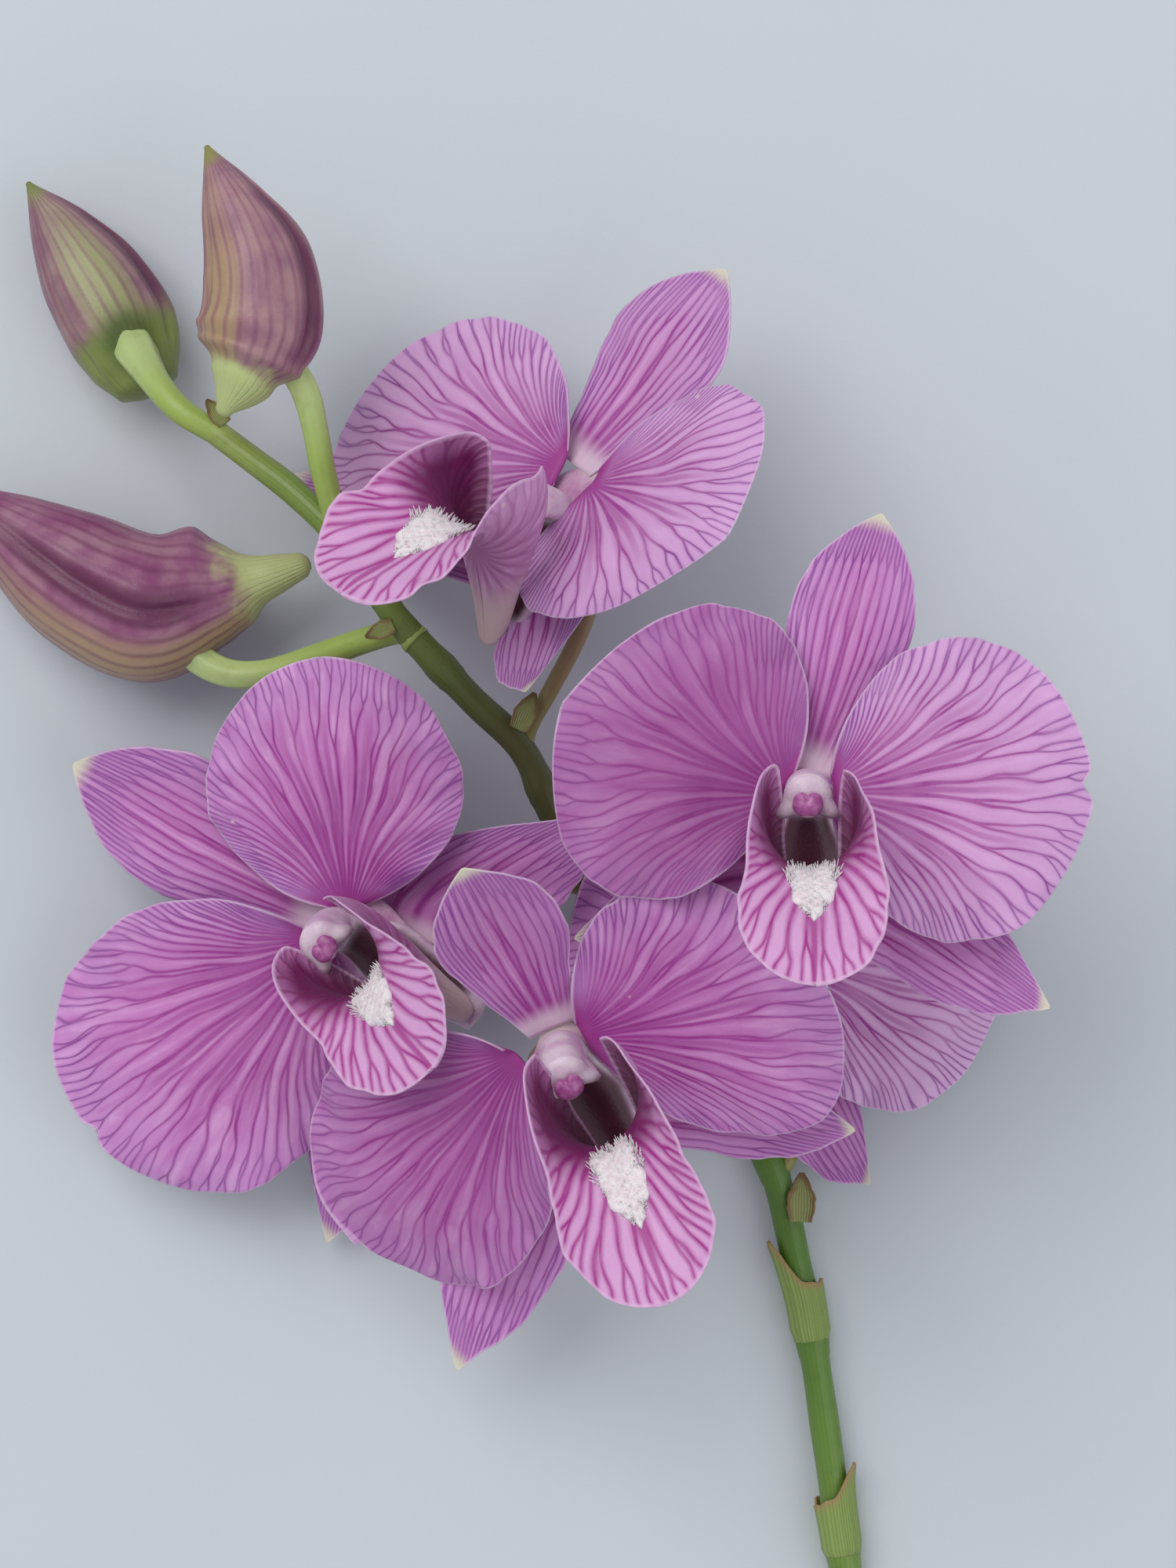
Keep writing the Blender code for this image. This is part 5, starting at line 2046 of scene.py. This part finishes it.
# A flower's pedicel starts beside the stem, and its last two points are behind its flower.
FLOWER_PEDICELS = (
    ((-6.7, 11.7, -4.6), (-4.4, 15.8, -4.2), (-0.8, 22.8, -3.8), (1.8, 31.0, -3.6)),
    ((2.0, -2.9, -12.0), (3.8, 2.4, -11.8), (8.0, 6.2, -8.8), (14.0, 7.6, -3.0), (20.0, 6.4, 3.6)),
    ((-2.5, -7.7, -12.8), (-8.0, -10.6, -14.2), (-16.0, -12.0, -16.4), (-24.0, -11.2, -17.0)),
    ((1.2, -23.0, -18.2), (-3.4, -25.4, -16.0), (-6.0, -28.0, -8.0), (-5.4, -27.4, 1.0)),
    ((24.9, -40.4, -20.6), (23.9, -35.5, -21.6), (21.8, -28.0, -22.1), (20.6, -21.5, -21.9)),
)
PEDICEL_RADII = ((0, 0.95), (0.4, 1.05), (0.8, 1.35), (1, 1.75))
PEDICEL_APPROACH = (0.0, 0.9, -7.2)
PEDICEL_END = (0.0, 0.6, -3.0)
BUD_PEDICELS = (
    Pedicel("pedicel_bud_1", Tube(
        ((-44.0, 46.2, -5.0), (-48.2, 48.8, -5.4), (-51.0, 51.8, -7.2), (-53.0, 54.6, -9.6),
         (-54.6, 57.0, -12.2), (-56.0, 59.2, -14.8)),
        (1.5, 1.6, 1.75, 2.1, 2.6, 2.7)), foot=1.0),
    Pedicel("pedicel_bud_2", Tube(
        ((-29.9, 36.4, -1.2), (-31.1, 41.6, 0.8), (-31.9, 46.0, 1.4), (-33.2, 50.8, 2.0),
         (-36.4, 55.8, 2.8)),
        (1.45, 1.5, 1.55, 1.7, 1.7))),
    Pedicel("pedicel_bud_3", Tube(
        ((-21.9, 22.6, -1.8), (-26.4, 21.6, -4.0), (-32.2, 19.7, -7.0), (-38.4, 17.9, -10.0),
         (-43.5, 18.0, -12.0), (-47.4, 20.2, -13.0), (-49.4, 23.4, -14.0)),
        (1.5, 1.55, 1.65, 1.7, 1.8, 2.0, 2.1))),
)
BUDS = (
    Bud("bud_1", Tube(
        ((-53.5, 53.3, -15.2), (-54.8, 56.0, -15.6), (-56.8, 60.0, -16.1), (-60.3, 65.8, -16.6),
         (-64.2, 71.9, -16.6), (-67.8, 77.3, -16.2)),
        (4.3, 5.9, 6.8, 6.3, 4.0, 0.4), spacing=0.3, sides=140),
        seams=(70.0, 190.0, 310.0), spur_until=0.02, blunt=0.4,
        socket=(-54.8, 57.8, -9.6)),
    Bud("bud_2", Tube(
        ((-42.3, 48.3, 3.6), (-40.2, 52.0, 3.4), (-38.2, 58.0, 3.2), (-38.6, 65.0, 3.2),
         (-41.4, 72.0, 3.4), (-44.3, 78.6, 3.8)),
        (1.1, 4.2, 7.2, 6.6, 4.1, 0.4), spacing=0.3, sides=140),
        seams=(62.0, 182.0, 300.0), spur_until=0.2, collar=0.1, hump=(0.24, -70.0, 0.12)),
    Bud("bud_3", Tube(
        ((-34.8, 30.8, -12.0), (-39.4, 29.2, -12.4), (-45.4, 27.0, -13.6), (-53.4, 26.0, -14.3),
         (-61.1, 29.3, -14.8), (-69.6, 35.0, -15.0), (-77.0, 40.8, -14.6)),
        (1.7, 3.0, 5.9, 9.0, 8.4, 5.4, 0.4), spacing=0.3, sides=140),
        seams=(-4.0, 116.0, 236.0), spur_until=0.16, collar=0.06, hump=(0.22, 84.0, 0.55)),
)
SHEATHS = (
    Sheath("sheath_lower", 0.035, 7.0, 4.0, 20.0),
    Sheath("sheath_upper", 0.19, 7.0, 6.0, 160.0),
)
BRACTS = (
    Bract("bract_flower_1", (-8.2, 11.0, -1.9), 66.0, 0.8),
    Bract("bract_flower_5", (25.9, -48.8, -18.9), 88.0),
    Bract("bract_bud_2", (-28.6, 35.4, 0.2), 100.0, 0.62),
    Bract("bract_bud_3", (-22.8, 23.2, 0.5), 202.0, 0.6),
    Bract("bract_tip", (-42.9, 47.2, -4.0), 128.0, 0.62),
)


# ---------------------------------------------------------------- the studio


@dataclass(frozen=True)
class Lamp:
    """A square lamp that points at the spray."""

    name: str
    place: Place
    size: float  # metres
    power: float  # watts
    colour: Place

    def build(self) -> None:
        """Hang the lamp."""
        lamp = bpy.data.lights.new(self.name, "AREA")
        lamp.size, lamp.energy, lamp.color = self.size, self.power, self.colour
        holder = bpy.data.objects.new(self.name, lamp)
        holder.location = self.place
        holder.rotation_euler = (-Vector(self.place)).to_track_quat("-Z", "Y").to_euler()
        bpy.context.scene.collection.objects.link(holder)


@dataclass
class Studio:
    """A pale table, soft lights and the camera that looks down on the spray."""

    table_size: float = 6.0
    key: Lamp = Lamp("key", (-0.9, 1.1, 1.9), 1.6, 27.0, (1.0, 0.99, 0.975))
    fill: Lamp = Lamp("fill", (1.4, -0.7, 1.5), 1.8, 10.0, (0.97, 0.985, 1.0))
    sky: tuple[float, float, float, float] = (0.93, 0.96, 1.0, 1.0)
    sky_strength: float = 0.54
    eye: Place = (0.0, 4.6, 480.0)  # in the layout, looking straight down on it
    view_width: float = 138.0  # millimetres seen across the layout's plane
    sensor: float = 36.0

    def build(self) -> None:
        """Set up the table, lights, world and camera."""
        self._table()
        self.key.build()
        self.fill.build()
        world = bpy.data.worlds.new("daylight")
        world.use_nodes = True
        light = world.node_tree.nodes["Background"].inputs
        light[0].default_value, light[1].default_value = self.sky, self.sky_strength
        bpy.context.scene.world = world
        bpy.context.scene.view_settings.view_transform = "Standard"  # keeps the colours as given
        self._camera()

    def _table(self) -> None:
        """A large pale top."""
        bpy.ops.object.select_all(action="DESELECT")
        bpy.ops.mesh.primitive_plane_add(size=self.table_size)
        table = bpy.context.object
        table.name = "table"
        table.data.materials.append(TableFinish().make("satin laminate"))

    def _camera(self) -> None:
        """Put the camera over the layout, square to it."""
        camera = bpy.data.cameras.new("camera")
        camera.sensor_fit = "HORIZONTAL"
        camera.sensor_width = self.sensor
        camera.lens = self.sensor * self.eye[2] / self.view_width
        camera.clip_start, camera.clip_end = 0.01, 20.0
        holder = bpy.data.objects.new("camera", camera)
        holder.location = settled(np.array([self.eye]))[0]
        holder.rotation_euler = Euler([math.radians(a) for a in SETTLE_TURN])
        bpy.context.scene.collection.objects.link(holder)
        bpy.context.scene.camera = holder


def build_stalks() -> None:
    """Build the stem, its sheaths and bracts, and the stalks of the flowers and buds."""
    MAIN_STEM.build(STEM_SKIN.make("green stem skin"), STEM_CUT.make("cut stem"))
    sheath, bract = SHEATH.make("papery green sheath"), BRACT.make("dry tan bract")
    for sleeve in SHEATHS:
        sleeve.build(MAIN_STEM.tube, sheath)
    for seed, scale in enumerate(BRACTS):
        scale.build(bract, seed)
    stem = MAIN_STEM.tube.course()[0]
    green, blushed = GREEN_PEDICEL.make("green pedicel"), BLUSHED_PEDICEL.make("blushed pedicel")
    for flower, start in zip(FLOWERS, FLOWER_PEDICELS, strict=True):
        end = flower.place(np.array([PEDICEL_APPROACH, PEDICEL_END]))
        points = (*start, *map(tuple, end))
        radii = tuple(through(PEDICEL_RADII, np.linspace(0, 1, len(points))))
        Pedicel(f"pedicel_flower_{flower.number}", Tube(points, radii)).build(blushed, stem)
    for stalk in BUD_PEDICELS:
        stalk.build(green, stem)


def main() -> None:
    """Build the whole spray and the studio round it."""
    logging.basicConfig(level=logging.INFO, format="%(message)s")
    finishes = {
        "petal_front": PETAL_FRONT.make("waxy petal, front"),
        "petal_back": PETAL_BACK.make("waxy petal, back"),
        "sepal_front": SEPAL_FRONT.make("waxy sepal, front"),
        "sepal_back": SEPAL_BACK.make("waxy sepal, back"),
        "lip_inside": LIP_INSIDE.make("burgundy lip, inside"),
        "lip_outside": LIP_OUTSIDE.make("mauve lip, outside"),
        "callus": CALLUS.make("white callus hairs"),
        "column": COLUMN.make("waxy column"),
        "collar": COLLAR.make("waxy collar"),
        "anther_cap": ANTHER.make("purple anther cap"),
    }
    Studio().build()
    build_stalks()
    for bud in BUDS:
        bud.build(BUD_FINISHES[bud.name].make(f"striped {bud.name} sepals"))
    for flower in FLOWERS:
        flower.build(finishes)


if __name__ == "__main__":
    main()
